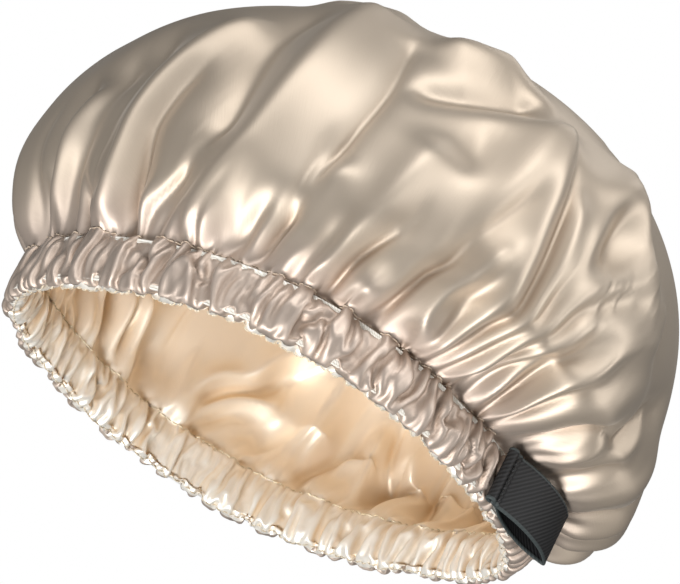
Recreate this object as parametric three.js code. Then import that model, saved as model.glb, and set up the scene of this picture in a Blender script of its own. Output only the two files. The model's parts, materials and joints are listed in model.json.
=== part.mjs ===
// A two layer satin hair bonnet with an elastic rim and a folded ribbon loop.
// It stands on its rim: +Z runs up through the crown and +X to the back, where the ribbon is sewn.
// Every size is in millimetres. A name that ends in SHARE or SHARES is a share of a named size.

import * as THREE from "three";

// Rim: an oval whose ends are a little pointed
const OPENING_LENGTH = 178;
const OPENING_WIDTH = 160;
const OPENING_CENTRE_X = -1.4;
const OPENING_POINT_SHARE = 0.25;
const OPENING_EGG_SHARE = -0.03;

// Crown: a full dome, widest above the rim and lower at the back
const CROWN_LENGTH = 215;
const CROWN_WIDTH = 185;
const CROWN_HEIGHT = 145;
const CROWN_CENTRE_X = 2;
const CROWN_LEAN_LENGTH = 3;
const CROWN_EGG_SHARE = 0.16;
const WIDEST_HEIGHT = 44;
const WIDEST_TILT_HEIGHT = 11;
const CROWN_ROUNDNESS = 2.3;

// Cloth and the gaps between pieces
const SATIN_THICKNESS = 0.6;
const LAYER_GAP = 0.35;
const RIM_FOLD_HEIGHT = 1.2;
const RIM_CHAMFER = 0.6;

// Elastic and the channel that it runs in
const ELASTIC_WIDTH = 15.5;
const ELASTIC_THICKNESS = 1;
const ELASTIC_CLEARANCE = 0.5;
const CHANNEL_END_CLEARANCE = 1.2;
const CHANNEL_PUFF = 1.2;

// Elastic's overlapped join, as shares of a turn round the rim
const JOIN_START_SHARE = 0.262;
const JOIN_OVERLAP_SHARE = 0.026;
const JOIN_STEP_SHARE = 0.012;
const JOIN_ZIGZAGS = 4;
const JOIN_MARGIN_SHARE = 0.12;
const JOIN_ZIGZAG_WIDTH = 3;

// Sewing threads
const THREAD_DIAMETER = 0.6;
const THREAD_SIDES = 5;
const THREAD_SEAT_GAP = 0.3;
const RIM_THREAD_HEIGHT = 3.2;

// Folds: where each crease runs at the seam and on the dome, as shares of a turn, and its share of the depth
const CREASE_SHARES = [
  { seam: 0.022, dome: 0.018, depth: 1 },
  { seam: 0.089, dome: 0.093, depth: 0.9 },
  { seam: 0.161, dome: 0.158, depth: 1 },
  { seam: 0.233, dome: 0.238, depth: 0.85 },
  { seam: 0.306, dome: 0.301, depth: 1 },
  { seam: 0.383, dome: 0.389, depth: 0.9 },
  { seam: 0.467, dome: 0.463, depth: 1 },
  { seam: 0.537, dome: 0.542, depth: 0.9 },
  { seam: 0.573, dome: 0.578, depth: 1 },
  { seam: 0.625, dome: 0.626, depth: 0.9 },
  { seam: 0.642, dome: 0.656, depth: 1 },
  { seam: 0.703, dome: 0.711, depth: 1 },
  { seam: 0.75, dome: 0.738, depth: 0.4 },
  { seam: 0.77, dome: 0.766, depth: 1 },
  { seam: 0.812, dome: 0.815, depth: 0.6 },
  { seam: 0.848, dome: 0.85, depth: 0.7 },
  { seam: 0.912, dome: 0.914, depth: 1 },
  { seam: 0.968, dome: 0.981, depth: 0.8 },
];
const POINTS_PER_FOLD = 3;
const FOLD_DEPTH = 5.6;
const FOLD_DEPTH_SHARES = [
  { level: 0, share: 0.22 },
  { level: 0.5, share: 0.2 },
  { level: 1, share: 0.34 },
  { level: 1.45, share: 0.92 },
  { level: 2, share: 1 },
  { level: 2.45, share: 0.52 },
  { level: 2.8, share: 0.12 },
  { level: 3, share: 0 },
];

// Ribbon loop
const RIBBON_WIDTH = 18;
const RIBBON_THICKNESS = 0.8;
const LOOP_LENGTH = 35;
const LOOP_TURN_SHARE = 0.884;
const LOOP_SPLAY_DEG = 3.6;
const LOOP_LIFT = 0.4;
const LOOP_DROOP = 0.7;
const LOOP_ROOT_LENGTH = 4;
const LOOP_FRONT_BOW = 3.5;
const LOOP_BACK_BOW = 3.3;
const RIDGE_RADIUS_SHARE = 1.5;
const RIDGE_POINTS = 8;
const BOW_SHARES = [
  { along: 0.12, bow: 0.4 },
  { along: 0.28, bow: 0.8 },
  { along: 0.46, bow: 1 },
  { along: 0.64, bow: 0.98 },
  { along: 0.8, bow: 0.74 },
  { along: 0.93, bow: 0.32 },
];
const TACK_STITCHES = 6;
const TACK_MARGIN = 1.4;

// Levels up the wall: 0 to 1 is the casing, 1 to 2 the flare, and 2 to 3 the dome
const PUFF_LEVEL = 0.5;
const CROWN_LEVELS = [1.2, 1.45, 1.72, 2, 2.22, 2.45, 2.66, 2.84];
const POLE_LEVEL = 3;

// Sizes that follow from the ones above
const ELASTIC_BOTTOM = RIM_FOLD_HEIGHT + CHANNEL_END_CLEARANCE;
const ELASTIC_TOP = ELASTIC_BOTTOM + ELASTIC_WIDTH;
const SEAM_HEIGHT = ELASTIC_TOP + CHANNEL_END_CLEARANCE;
const THREAD_RADIUS = THREAD_DIAMETER / 2;
const ELASTIC_INSET = SATIN_THICKNESS + ELASTIC_CLEARANCE;
const JOIN_INSET_STEP = ELASTIC_THICKNESS + LAYER_GAP;
const THREAD_STAND_OFF = THREAD_SEAT_GAP + THREAD_RADIUS;
const JOIN_THREAD_INSET = ELASTIC_INSET + JOIN_INSET_STEP + ELASTIC_THICKNESS + THREAD_STAND_OFF;
const CHANNEL_LINING_INSET = JOIN_THREAD_INSET + THREAD_RADIUS + LAYER_GAP;
const CROWN_LINING_INSET = SATIN_THICKNESS + LAYER_GAP;
const CASING_DEPTH = CHANNEL_LINING_INSET + SATIN_THICKNESS;
const LINING_THREAD_INSET = CASING_DEPTH + THREAD_STAND_OFF;
const OUTER_THREAD_INSET = -(THREAD_STAND_OFF + LAYER_GAP);
const LINING_BOTTOM = RIM_FOLD_HEIGHT + LAYER_GAP;
const RIDGE_RADIUS = RIBBON_THICKNESS * RIDGE_RADIUS_SHARE;
const SEAM_THREAD_HEIGHT = SEAM_HEIGHT - THREAD_DIAMETER;
const FULL_TURN = Math.PI * 2;

// Straight line between two numbers
function mix(from, to, share) {
  return from + (to - from) * share;
}

// Level of a height in the casing
function casingLevel(height) {
  return height / SEAM_HEIGHT;
}

// Share of a value that a table of levels gives
function shareAtLevel(table, level) {
  const next = table.findIndex((row) => row.level >= level);
  if (next <= 0) return table[Math.max(next, 0)].share;
  const low = table[next - 1];
  const high = table[next];
  return mix(low.share, high.share, (level - low.level) / (high.level - low.level));
}

// Rim oval, at a turn in radians
function rimPlan(turn) {
  const cos = Math.cos(turn);
  const narrowing = 1 - OPENING_POINT_SHARE * cos * cos + OPENING_EGG_SHARE * cos;
  return new THREE.Vector2(
    OPENING_CENTRE_X + (OPENING_LENGTH / 2) * cos,
    (OPENING_WIDTH / 2) * Math.sin(turn) * narrowing,
  );
}

// Crown's widest outline, drawn in by a share of its size and moved along as it rises
function crownPlan(turn, size, rise) {
  const cos = Math.cos(turn);
  return new THREE.Vector2(
    CROWN_CENTRE_X + CROWN_LEAN_LENGTH * rise + (CROWN_LENGTH / 2) * size * cos,
    (CROWN_WIDTH / 2) * size * Math.sin(turn) * (1 + CROWN_EGG_SHARE * cos),
  );
}

// Outer face of the bonnet with its folds pulled smooth
function smoothPoint(turn, level) {
  const widest = WIDEST_HEIGHT - WIDEST_TILT_HEIGHT * Math.cos(turn);
  if (level <= 1) {
    const plan = rimPlan(turn);
    return new THREE.Vector3(plan.x, plan.y, SEAM_HEIGHT * level);
  }
  if (level <= 2) {
    const climb = level - 1;
    const swell = Math.sin((climb * Math.PI) / 2);
    const plan = rimPlan(turn).lerp(crownPlan(turn, 1, 0), swell);
    return new THREE.Vector3(plan.x, plan.y, mix(SEAM_HEIGHT, widest, climb));
  }
  const lean = ((Math.min(level, POLE_LEVEL) - 2) * Math.PI) / 2;
  const size = Math.max(Math.cos(lean), 0) ** (2 / CROWN_ROUNDNESS);
  const rise = Math.sin(lean) ** (2 / CROWN_ROUNDNESS);
  const plan = crownPlan(turn, size, rise);
  return new THREE.Vector3(plan.x, plan.y, mix(widest, CROWN_HEIGHT, rise));
}

// Way out of the cloth, square to the wall, or kept level as folds and the casing are
function outwardAt(turn, level, keptLevel = level <= 1) {
  const stepShare = 0.001;
  const along = smoothPoint(turn + stepShare, level).sub(smoothPoint(turn - stepShare, level));
  if (keptLevel) return new THREE.Vector3(along.y, -along.x, 0).normalize();
  if (level >= POLE_LEVEL) return new THREE.Vector3(0, 0, 1);
  const up = smoothPoint(turn, level + stepShare).sub(smoothPoint(turn, level - stepShare));
  return along.cross(up).normalize();
}

// Places of the creases at a level, as shares of a turn
function creasePlaces(level) {
  const climb = Math.min(Math.max(level - 1, 0), 1);
  return CREASE_SHARES.map((crease) => mix(crease.seam, crease.dome, climb));
}

// Fold of the cloth at a turn: 0 in the deepest creases and 1 on the flat top of the pleat between two
function pleatShare(turn, level) {
  const share = ((turn / FULL_TURN) % 1 + 1) % 1;
  const places = creasePlaces(level);
  const after = places.findIndex((place) => place > share);
  const right = after < 0 ? 0 : after;
  const left = (right + places.length - 1) % places.length;
  const width = (places[right] - places[left] + 1) % 1;
  const along = (share - places[left] + 1) % 1;
  const nearest = CREASE_SHARES[along < width / 2 ? left : right];
  const edge = Math.min(along, width - along) / width;
  return 1 - nearest.depth * (1 - Math.min(edge * POINTS_PER_FOLD, 1));
}

// Point of the folded wall, moved in from the outer face by an inset, at a set height if one is given
function wallPoint(turn, level, inset, height = null) {
  const fold = FOLD_DEPTH * shareAtLevel(FOLD_DEPTH_SHARES, level) * (pleatShare(turn, level) - 1);
  const point = smoothPoint(turn, level);
  point.addScaledVector(outwardAt(turn, level, level <= 2), fold);
  point.addScaledVector(outwardAt(turn, level), -inset);
  if (height !== null) point.z = height;
  return point;
}

// Turns at which a level's ring has its points: each crease and the pleat's top between two of them
function foldTurns(level) {
  const turns = [];
  const places = creasePlaces(level);
  places.forEach((place, index) => {
    const next = places[(index + 1) % places.length];
    const width = (next - place + 1) % 1;
    for (let step = 0; step < POINTS_PER_FOLD; step += 1) {
      turns.push((place + (width * step) / POINTS_PER_FOLD) * FULL_TURN);
    }
  });
  return turns;
}

// Ring of wall points at one level
function wallRing(level, inset, height = null) {
  return foldTurns(level).map((turn) => wallPoint(turn, level, inset, height));
}

// Ring of the casing at a height above the rest face
function casingRing(height, inset) {
  return wallRing(casingLevel(height), inset, height);
}

// Volume inside a list of triangles, with its sign
function signedVolume(points, triangles) {
  let volume = 0;
  triangles.forEach(([a, b, c]) => {
    volume += points[a].dot(new THREE.Vector3().crossVectors(points[b], points[c]));
  });
  return volume;
}

// Closed skin through rings of equal counts, shut by a point at each end or by joining last to first.
// The first rings may fall down the wall. Every face of the wall is split from its lower left to its
// upper right, whichever way its rings run, so that layers stay parallel.
function skinThroughRings(rings, poles = null, fallingBands = 0) {
  const count = rings[0].length;
  const points = rings.flat();
  const triangles = [];
  const bands = poles ? rings.length - 1 : rings.length;
  for (let band = 0; band < bands; band += 1) {
    const low = band * count;
    const high = ((band + 1) % rings.length) * count;
    for (let side = 0; side < count; side += 1) {
      const next = (side + 1) % count;
      if (band >= fallingBands) {
        triangles.push([low + side, low + next, high + next]);
        triangles.push([low + side, high + next, high + side]);
      } else {
        triangles.push([low + side, low + next, high + side]);
        triangles.push([low + next, high + next, high + side]);
      }
    }
  }
  if (poles) {
    const first = points.push(poles[0]) - 1;
    const last = points.push(poles[1]) - 1;
    const top = (rings.length - 1) * count;
    for (let side = 0; side < count; side += 1) {
      const next = (side + 1) % count;
      triangles.push([first, next, side], [last, top + side, top + next]);
    }
  }
  const inwards = signedVolume(points, triangles) < 0;
  const geometry = new THREE.BufferGeometry();
  geometry.setFromPoints(points);
  geometry.setIndex(triangles.flatMap(([a, b, c]) => (inwards ? [a, c, b] : [a, b, c])));
  geometry.computeVertexNormals();
  return geometry;
}

// Middle of a ring of points
function middleOf(ring) {
  const sum = ring.reduce((total, point) => total.add(point), new THREE.Vector3());
  return sum.divideScalar(ring.length);
}

// Closed ends for a strip or a thread that doesn't join up
function endCaps(rings) {
  return [middleOf(rings[0]), middleOf(rings[rings.length - 1])];
}

// Section of thread about a centre, round but for a stretch along its second way
function threadSection(centre, across, up, stretch = 1) {
  const section = [];
  for (let side = 0; side < THREAD_SIDES; side += 1) {
    const angle = (side / THREAD_SIDES) * FULL_TURN;
    const point = centre.clone().addScaledVector(across, THREAD_RADIUS * Math.cos(angle));
    section.push(point.addScaledVector(up, THREAD_RADIUS * stretch * Math.sin(angle)));
  }
  return section;
}

// Outer satin: crown and outer wall of the casing in one piece, turned in under the rim
function outerSatinGeometry() {
  const wall = (inset) => [
    wallRing(PUFF_LEVEL, inset - CHANNEL_PUFF),
    ...[1, ...CROWN_LEVELS].map((level) => wallRing(level, inset)),
  ];
  const outside = wall(0).reverse();
  const inside = wall(SATIN_THICKNESS);
  const rim = [
    casingRing(RIM_CHAMFER, 0),
    casingRing(0, RIM_CHAMFER),
    casingRing(0, CASING_DEPTH - RIM_CHAMFER),
    casingRing(RIM_CHAMFER, CASING_DEPTH),
    casingRing(RIM_FOLD_HEIGHT, CASING_DEPTH),
    casingRing(RIM_FOLD_HEIGHT, SATIN_THICKNESS),
  ];
  const poles = [wallPoint(0, POLE_LEVEL, 0), wallPoint(0, POLE_LEVEL, SATIN_THICKNESS)];
  return skinThroughRings([...outside, ...rim, ...inside], poles, outside.length);
}

// Lining satin: the inner bag, which leaves room for the elastic below the seam
function liningSatinGeometry() {
  const channelTop = ELASTIC_TOP + LAYER_GAP;
  const outerFace = [
    casingRing(LINING_BOTTOM, CHANNEL_LINING_INSET),
    wallRing(PUFF_LEVEL, CHANNEL_LINING_INSET),
    casingRing(channelTop, CHANNEL_LINING_INSET),
    wallRing(1, CROWN_LINING_INSET),
    ...CROWN_LEVELS.map((level) => wallRing(level, CROWN_LINING_INSET)),
  ];
  const innerFace = [
    casingRing(LINING_BOTTOM, CASING_DEPTH),
    wallRing(PUFF_LEVEL, CASING_DEPTH),
    casingRing(channelTop, CASING_DEPTH),
    wallRing(1, CROWN_LINING_INSET + SATIN_THICKNESS),
    ...CROWN_LEVELS.map((level) => wallRing(level, CROWN_LINING_INSET + SATIN_THICKNESS)),
  ];
  const poles = [
    wallPoint(0, POLE_LEVEL, CROWN_LINING_INSET),
    wallPoint(0, POLE_LEVEL, CROWN_LINING_INSET + SATIN_THICKNESS),
  ];
  return skinThroughRings([...outerFace.reverse(), ...innerFace], poles, outerFace.length - 1);
}

// Turns from the start of the elastic, once round the rim, to the end of its overlap
function elasticTurns() {
  const start = JOIN_START_SHARE;
  const end = start + 1 + JOIN_OVERLAP_SHARE;
  const shares = [start, start + JOIN_OVERLAP_SHARE, start + 1 - JOIN_STEP_SHARE, start + 1, end];
  foldTurns(0).forEach((turn) => {
    const share = turn / FULL_TURN;
    shares.push(share, share + 1);
  });
  return shares.filter((share) => share >= start && share <= end).sort((a, b) => a - b);
}

// Elastic: a flat strip whose last stretch steps inwards and lies on its own start
function elasticGeometry() {
  const stepStart = JOIN_START_SHARE + 1 - JOIN_STEP_SHARE;
  const sections = elasticTurns().map((share) => {
    const stepped = Math.min(Math.max((share - stepStart) / JOIN_STEP_SHARE, 0), 1);
    const outer = ELASTIC_INSET + JOIN_INSET_STEP * stepped;
    const inner = outer + ELASTIC_THICKNESS;
    const turn = share * FULL_TURN;
    const corner = (height, inset) => wallPoint(turn, casingLevel(height), inset, height);
    return [
      corner(ELASTIC_BOTTOM, outer),
      corner(ELASTIC_TOP, outer),
      corner(ELASTIC_TOP, inner),
      corner(ELASTIC_BOTTOM, inner),
    ];
  });
  return skinThroughRings(sections, endCaps(sections));
}

// Zigzag thread up the elastic's overlap, laid on the inner of its two layers
function joinStitchGeometry() {
  const margin = ELASTIC_WIDTH * JOIN_MARGIN_SHARE;
  const turn = (JOIN_START_SHARE + JOIN_OVERLAP_SHARE / 2) * FULL_TURN;
  const outward = outwardAt(turn, 0);
  const aside = new THREE.Vector3(-outward.y, outward.x, 0);
  const corners = JOIN_ZIGZAGS * 2;
  const climb = (ELASTIC_WIDTH - margin * 2) / corners;
  const stretch = Math.hypot(climb, JOIN_ZIGZAG_WIDTH) / climb;
  const foot = wallPoint(turn, casingLevel(ELASTIC_BOTTOM), JOIN_THREAD_INSET);
  const head = wallPoint(turn, casingLevel(ELASTIC_TOP), JOIN_THREAD_INSET);
  const sections = [];
  for (let corner = 0; corner <= corners; corner += 1) {
    const centre = foot.clone().lerp(head, (margin + climb * corner) / ELASTIC_WIDTH);
    centre.addScaledVector(aside, JOIN_ZIGZAG_WIDTH * (corner % 2 ? 1 / 2 : -1 / 2));
    sections.push(threadSection(centre, outward, aside, stretch));
  }
  return skinThroughRings(sections, endCaps(sections));
}

// Thread all round the wall, at a height and an inset that is less than zero outside the cloth
function ringThreadGeometry(height, inset) {
  const up = new THREE.Vector3(0, 0, 1);
  const sections = foldTurns(0).map((turn) => {
    const centre = wallPoint(turn, casingLevel(height), inset, height);
    return threadSection(centre, outwardAt(turn, 0), up);
  });
  return skinThroughRings(sections);
}

// Outline of the ribbon seen from above: x runs along the loop from its root, y towards the bonnet
function ribbonOutline() {
  const tip = LOOP_LENGTH - RIBBON_THICKNESS;
  const open = (row) => mix(LOOP_ROOT_LENGTH, tip, row.along);
  const outline = [];
  for (let step = 0; step <= RIDGE_POINTS; step += 1) {
    const angle = Math.PI / 2 + (step / RIDGE_POINTS) * Math.PI;
    outline.push(new THREE.Vector2(RIDGE_RADIUS * Math.cos(angle), RIDGE_RADIUS * Math.sin(angle)));
  }
  outline.push(new THREE.Vector2(LOOP_ROOT_LENGTH, -RIBBON_THICKNESS));
  BOW_SHARES.forEach((row) => {
    outline.push(new THREE.Vector2(open(row), -RIBBON_THICKNESS - LOOP_FRONT_BOW * row.bow));
  });
  outline.push(new THREE.Vector2(LOOP_LENGTH, -RIBBON_THICKNESS / 2));
  outline.push(new THREE.Vector2(LOOP_LENGTH, RIBBON_THICKNESS / 2));
  [...BOW_SHARES].reverse().forEach((row) => {
    outline.push(new THREE.Vector2(open(row), RIBBON_THICKNESS + LOOP_BACK_BOW * row.bow));
  });
  outline.push(new THREE.Vector2(LOOP_ROOT_LENGTH, RIBBON_THICKNESS));
  return outline;
}

// Outline of the space inside the folded ribbon
function loopGapOutline() {
  const tip = LOOP_LENGTH - RIBBON_THICKNESS;
  const open = (row) => mix(LOOP_ROOT_LENGTH, tip, row.along);
  const front = BOW_SHARES.map((row) => new THREE.Vector2(open(row), -LOOP_FRONT_BOW * row.bow));
  const back = BOW_SHARES.map((row) => new THREE.Vector2(open(row), LOOP_BACK_BOW * row.bow));
  const root = new THREE.Vector2(LOOP_ROOT_LENGTH, 0);
  return [root, ...front, new THREE.Vector2(tip, 0), ...back.reverse()];
}

// Height that a point along the loop has sunk
function droopAt(along) {
  return -LOOP_DROOP * (along / LOOP_LENGTH);
}

// Ribbon loop, folded double, with both ends sewn into a ridge at its root
function ribbonGeometry() {
  const shape = new THREE.Shape(ribbonOutline());
  shape.holes.push(new THREE.Path(loopGapOutline()));
  const geometry = new THREE.ExtrudeGeometry(shape, { depth: RIBBON_WIDTH, bevelEnabled: false });
  const position = geometry.attributes.position;
  for (let index = 0; index < position.count; index += 1) {
    position.setZ(index, position.getZ(index) + droopAt(position.getX(index)));
  }
  geometry.computeVertexNormals();
  return geometry;
}

// Tack stitches down the ribbon's front face, just past the ridge
function tackGeometry() {
  const along = LOOP_ROOT_LENGTH / 2;
  const seat = RIDGE_RADIUS + THREAD_STAND_OFF;
  const low = TACK_MARGIN + droopAt(along);
  const high = RIBBON_WIDTH - TACK_MARGIN + droopAt(along);
  const ahead = new THREE.Vector3(1, 0, 0);
  const aside = new THREE.Vector3(0, 1, 0);
  const sections = [];
  const steps = TACK_STITCHES * 2;
  for (let step = 0; step <= steps; step += 1) {
    const lift = step % 2 ? THREAD_RADIUS : 0;
    const centre = new THREE.Vector3(along, -seat - lift, mix(low, high, step / steps));
    sections.push(threadSection(centre, ahead, aside));
  }
  return skinThroughRings(sections, endCaps(sections));
}

// Place and heading of the loop's root, clear by one layer gap of the wall beside all its height
function loopPlacement() {
  const turn = LOOP_TURN_SHARE * FULL_TURN;
  const outward = outwardAt(turn, 0);
  const foot = LOOP_LIFT + LOOP_DROOP;
  const overSeam = Math.max(foot + RIBBON_WIDTH - SEAM_HEIGHT, 0);
  const flareHeight = smoothPoint(turn, 2).z - SEAM_HEIGHT;
  const beside = [
    wallPoint(turn, PUFF_LEVEL, -CHANNEL_PUFF),
    wallPoint(turn, 1, 0),
    wallPoint(turn, 1 + overSeam / flareHeight, 0),
  ];
  const reaches = beside.map((point) => point.dot(outward));
  const root = wallPoint(turn, 0, 0);
  const standOff = Math.max(...reaches) - root.dot(outward) + RIDGE_RADIUS + LAYER_GAP;
  root.addScaledVector(outward, standOff);
  root.z = foot;
  const along = Math.atan2(outward.x, -outward.y);
  return { root, heading: along - THREE.MathUtils.degToRad(LOOP_SPLAY_DEG) };
}

// Named mesh with its own finish
function piece(name, geometry, colour, roughness, metalness = 0) {
  const finish = new THREE.MeshStandardMaterial({ color: colour, roughness, metalness });
  const mesh = new THREE.Mesh(geometry, finish);
  mesh.name = name;
  return mesh;
}

// Both satin layers
function satinPieces() {
  return [
    piece("outer_satin", outerSatinGeometry(), 0xc9bdac, 0.32),
    piece("lining_satin", liningSatinGeometry(), 0xe8d6b4, 0.32),
  ];
}

// Elastic with the thread that joins its ends
function elasticPieces() {
  return [
    piece("elastic_band", elasticGeometry(), 0xf2efe8, 0.85),
    piece("elastic_join_thread", joinStitchGeometry(), 0xe9e4d8, 0.7),
  ];
}

// Threads of the seam above the elastic, outside and inside, and of the seam along the rim
function seamPieces() {
  return [
    piece("seam_needle_thread", ringThreadGeometry(SEAM_THREAD_HEIGHT, OUTER_THREAD_INSET), 0xb9a893, 0.6),
    piece("seam_bobbin_thread", ringThreadGeometry(SEAM_THREAD_HEIGHT, LINING_THREAD_INSET), 0xeee3c8, 0.6),
    piece("rim_seam_thread", ringThreadGeometry(RIM_THREAD_HEIGHT, LINING_THREAD_INSET), 0xdccdb6, 0.6),
  ];
}

// Ribbon loop and its tack, turned to lie along the rim
function loopPieces() {
  const { root, heading } = loopPlacement();
  const loop = new THREE.Group();
  loop.add(
    piece("ribbon_loop", ribbonGeometry(), 0x262626, 0.75),
    piece("ribbon_tack_thread", tackGeometry(), 0x1a1a1a, 0.7),
  );
  loop.rotation.z = heading;
  loop.position.copy(root);
  return loop;
}

// Whole bonnet, moved so that its origin is under the middle of its box
function bonnet() {
  const assembly = new THREE.Group();
  assembly.add(...satinPieces(), ...elasticPieces(), ...seamPieces(), loopPieces());
  assembly.updateMatrixWorld(true);
  const box = new THREE.Box3().setFromObject(assembly, true);
  const middle = box.getCenter(new THREE.Vector3());
  assembly.position.set(-middle.x, -middle.y, -box.min.z);
  return assembly;
}

export default bonnet();
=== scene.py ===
"""Two layer satin hair bonnet with an elastic rim and a folded ribbon loop, dressed for its photograph.

The cloth is worked out in millimetres on the bonnet's own wall: a turn round the rim, from +X through +Y,
and a level up the wall, which is 0 at the rim, 1 at the seam, 2 at the widest place and 3 at the top.
"""

import json
import logging
import math
from dataclasses import dataclass, field
from enum import Enum

import bpy
import numpy as np
from mathutils import Matrix, Vector
from mathutils.bvhtree import BVHTree


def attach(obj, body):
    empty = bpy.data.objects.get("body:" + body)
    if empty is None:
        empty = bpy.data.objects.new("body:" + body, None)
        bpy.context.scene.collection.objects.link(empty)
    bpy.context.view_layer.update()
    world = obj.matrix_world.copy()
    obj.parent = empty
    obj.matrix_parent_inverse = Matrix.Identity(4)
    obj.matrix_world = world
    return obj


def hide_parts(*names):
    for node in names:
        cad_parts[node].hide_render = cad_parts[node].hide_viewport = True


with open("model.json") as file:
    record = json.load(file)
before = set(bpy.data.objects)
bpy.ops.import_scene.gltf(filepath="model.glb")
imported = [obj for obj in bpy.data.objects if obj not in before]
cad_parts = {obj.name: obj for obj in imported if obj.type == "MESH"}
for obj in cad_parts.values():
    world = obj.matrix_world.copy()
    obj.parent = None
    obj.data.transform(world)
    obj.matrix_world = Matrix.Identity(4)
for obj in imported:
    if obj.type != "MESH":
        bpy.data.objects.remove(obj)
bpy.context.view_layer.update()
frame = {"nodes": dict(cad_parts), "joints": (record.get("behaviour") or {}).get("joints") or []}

LOG = logging.getLogger("hair_bonnet")
MM = 0.001
FULL_TURN = 2 * math.pi
# Length of the rim's edge and its mean radius, in mm
RIM_LENGTH = 540.0
RIM_RADIUS = 86.0


def linear(hex_colour: str) -> tuple[float, float, float, float]:
    """Turn an sRGB hex colour into linear light.

    Args:
        hex_colour: Six hex digits, such as "c9bdac".

    Returns:
        Red, green, blue and an alpha of 1.
    """
    channels = [int(hex_colour[i : i + 2], 16) / 255 for i in (0, 2, 4)]
    light = [c / 12.92 if c <= 0.04045 else ((c + 0.055) / 1.055) ** 2.4 for c in channels]
    return (*light, 1.0)


def smooth_step(x: np.ndarray, start: float = 0.0, over: float = 1.0) -> np.ndarray:
    """Return an S curve that rises from 0 at a start to 1, over a length."""
    x = np.clip((x - start) / over, 0, 1)
    return x * x * (3 - 2 * x)


@dataclass(frozen=True)
class Bulge:
    """Soft bulge: how high it is, where its middle lies and how far it spreads, in mm or degrees."""

    height: float
    middle: float
    spread: float

    def at(self, place: np.ndarray) -> np.ndarray:
        """Return its height at some places."""
        return self.height * np.exp(-(((place - self.middle) / self.spread) ** 2))


def soft_noise(rows: np.ndarray, turns: np.ndarray, waves: int, rng: np.random.Generator) -> np.ndarray:
    """Sum a few slow waves over the wall, the same on every run.

    Args:
        rows: Height of each row along the wall, in mm.
        turns: Turn of each column, in radians.
        waves: Most waves round the rim.
        rng: Seeded source of numbers.

    Returns:
        Values of about -1 to 1, one per row and column.
    """
    total = np.zeros((len(rows), len(turns)))
    count = 9
    for _ in range(count):
        around = int(rng.integers(max(waves // 3, 1), waves + 1))
        along = rng.uniform(0.3, 1.0) * waves / RIM_RADIUS
        lean = rng.choice([-1, 1])
        phase = rng.uniform(0, FULL_TURN)
        total += np.cos(around * turns[None, :] + lean * along * rows[:, None] + phase)
    return total / math.sqrt(count)


def spline(knots: np.ndarray, counts: list[int]) -> np.ndarray:
    """Run a smooth line through knots.

    Args:
        knots: Points that the line goes through.
        counts: Steps from each knot to the next.

    Returns:
        Close points on the line, which ends at the last knot.
    """
    ends = np.concatenate([2 * knots[:1] - knots[1:2], knots, 2 * knots[-1:] - knots[-2:-1]])
    line = []
    for start, count in enumerate(counts):
        a, b, c, d = ends[start : start + 4]
        square, cube = 2 * a - 5 * b + 4 * c - d, 3 * b - a - 3 * c + d
        line += [0.5 * (2 * b + (c - a) * t + square * t**2 + cube * t**3) for t in np.arange(count) / count]
    return np.array([*line, knots[-1]])


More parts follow.
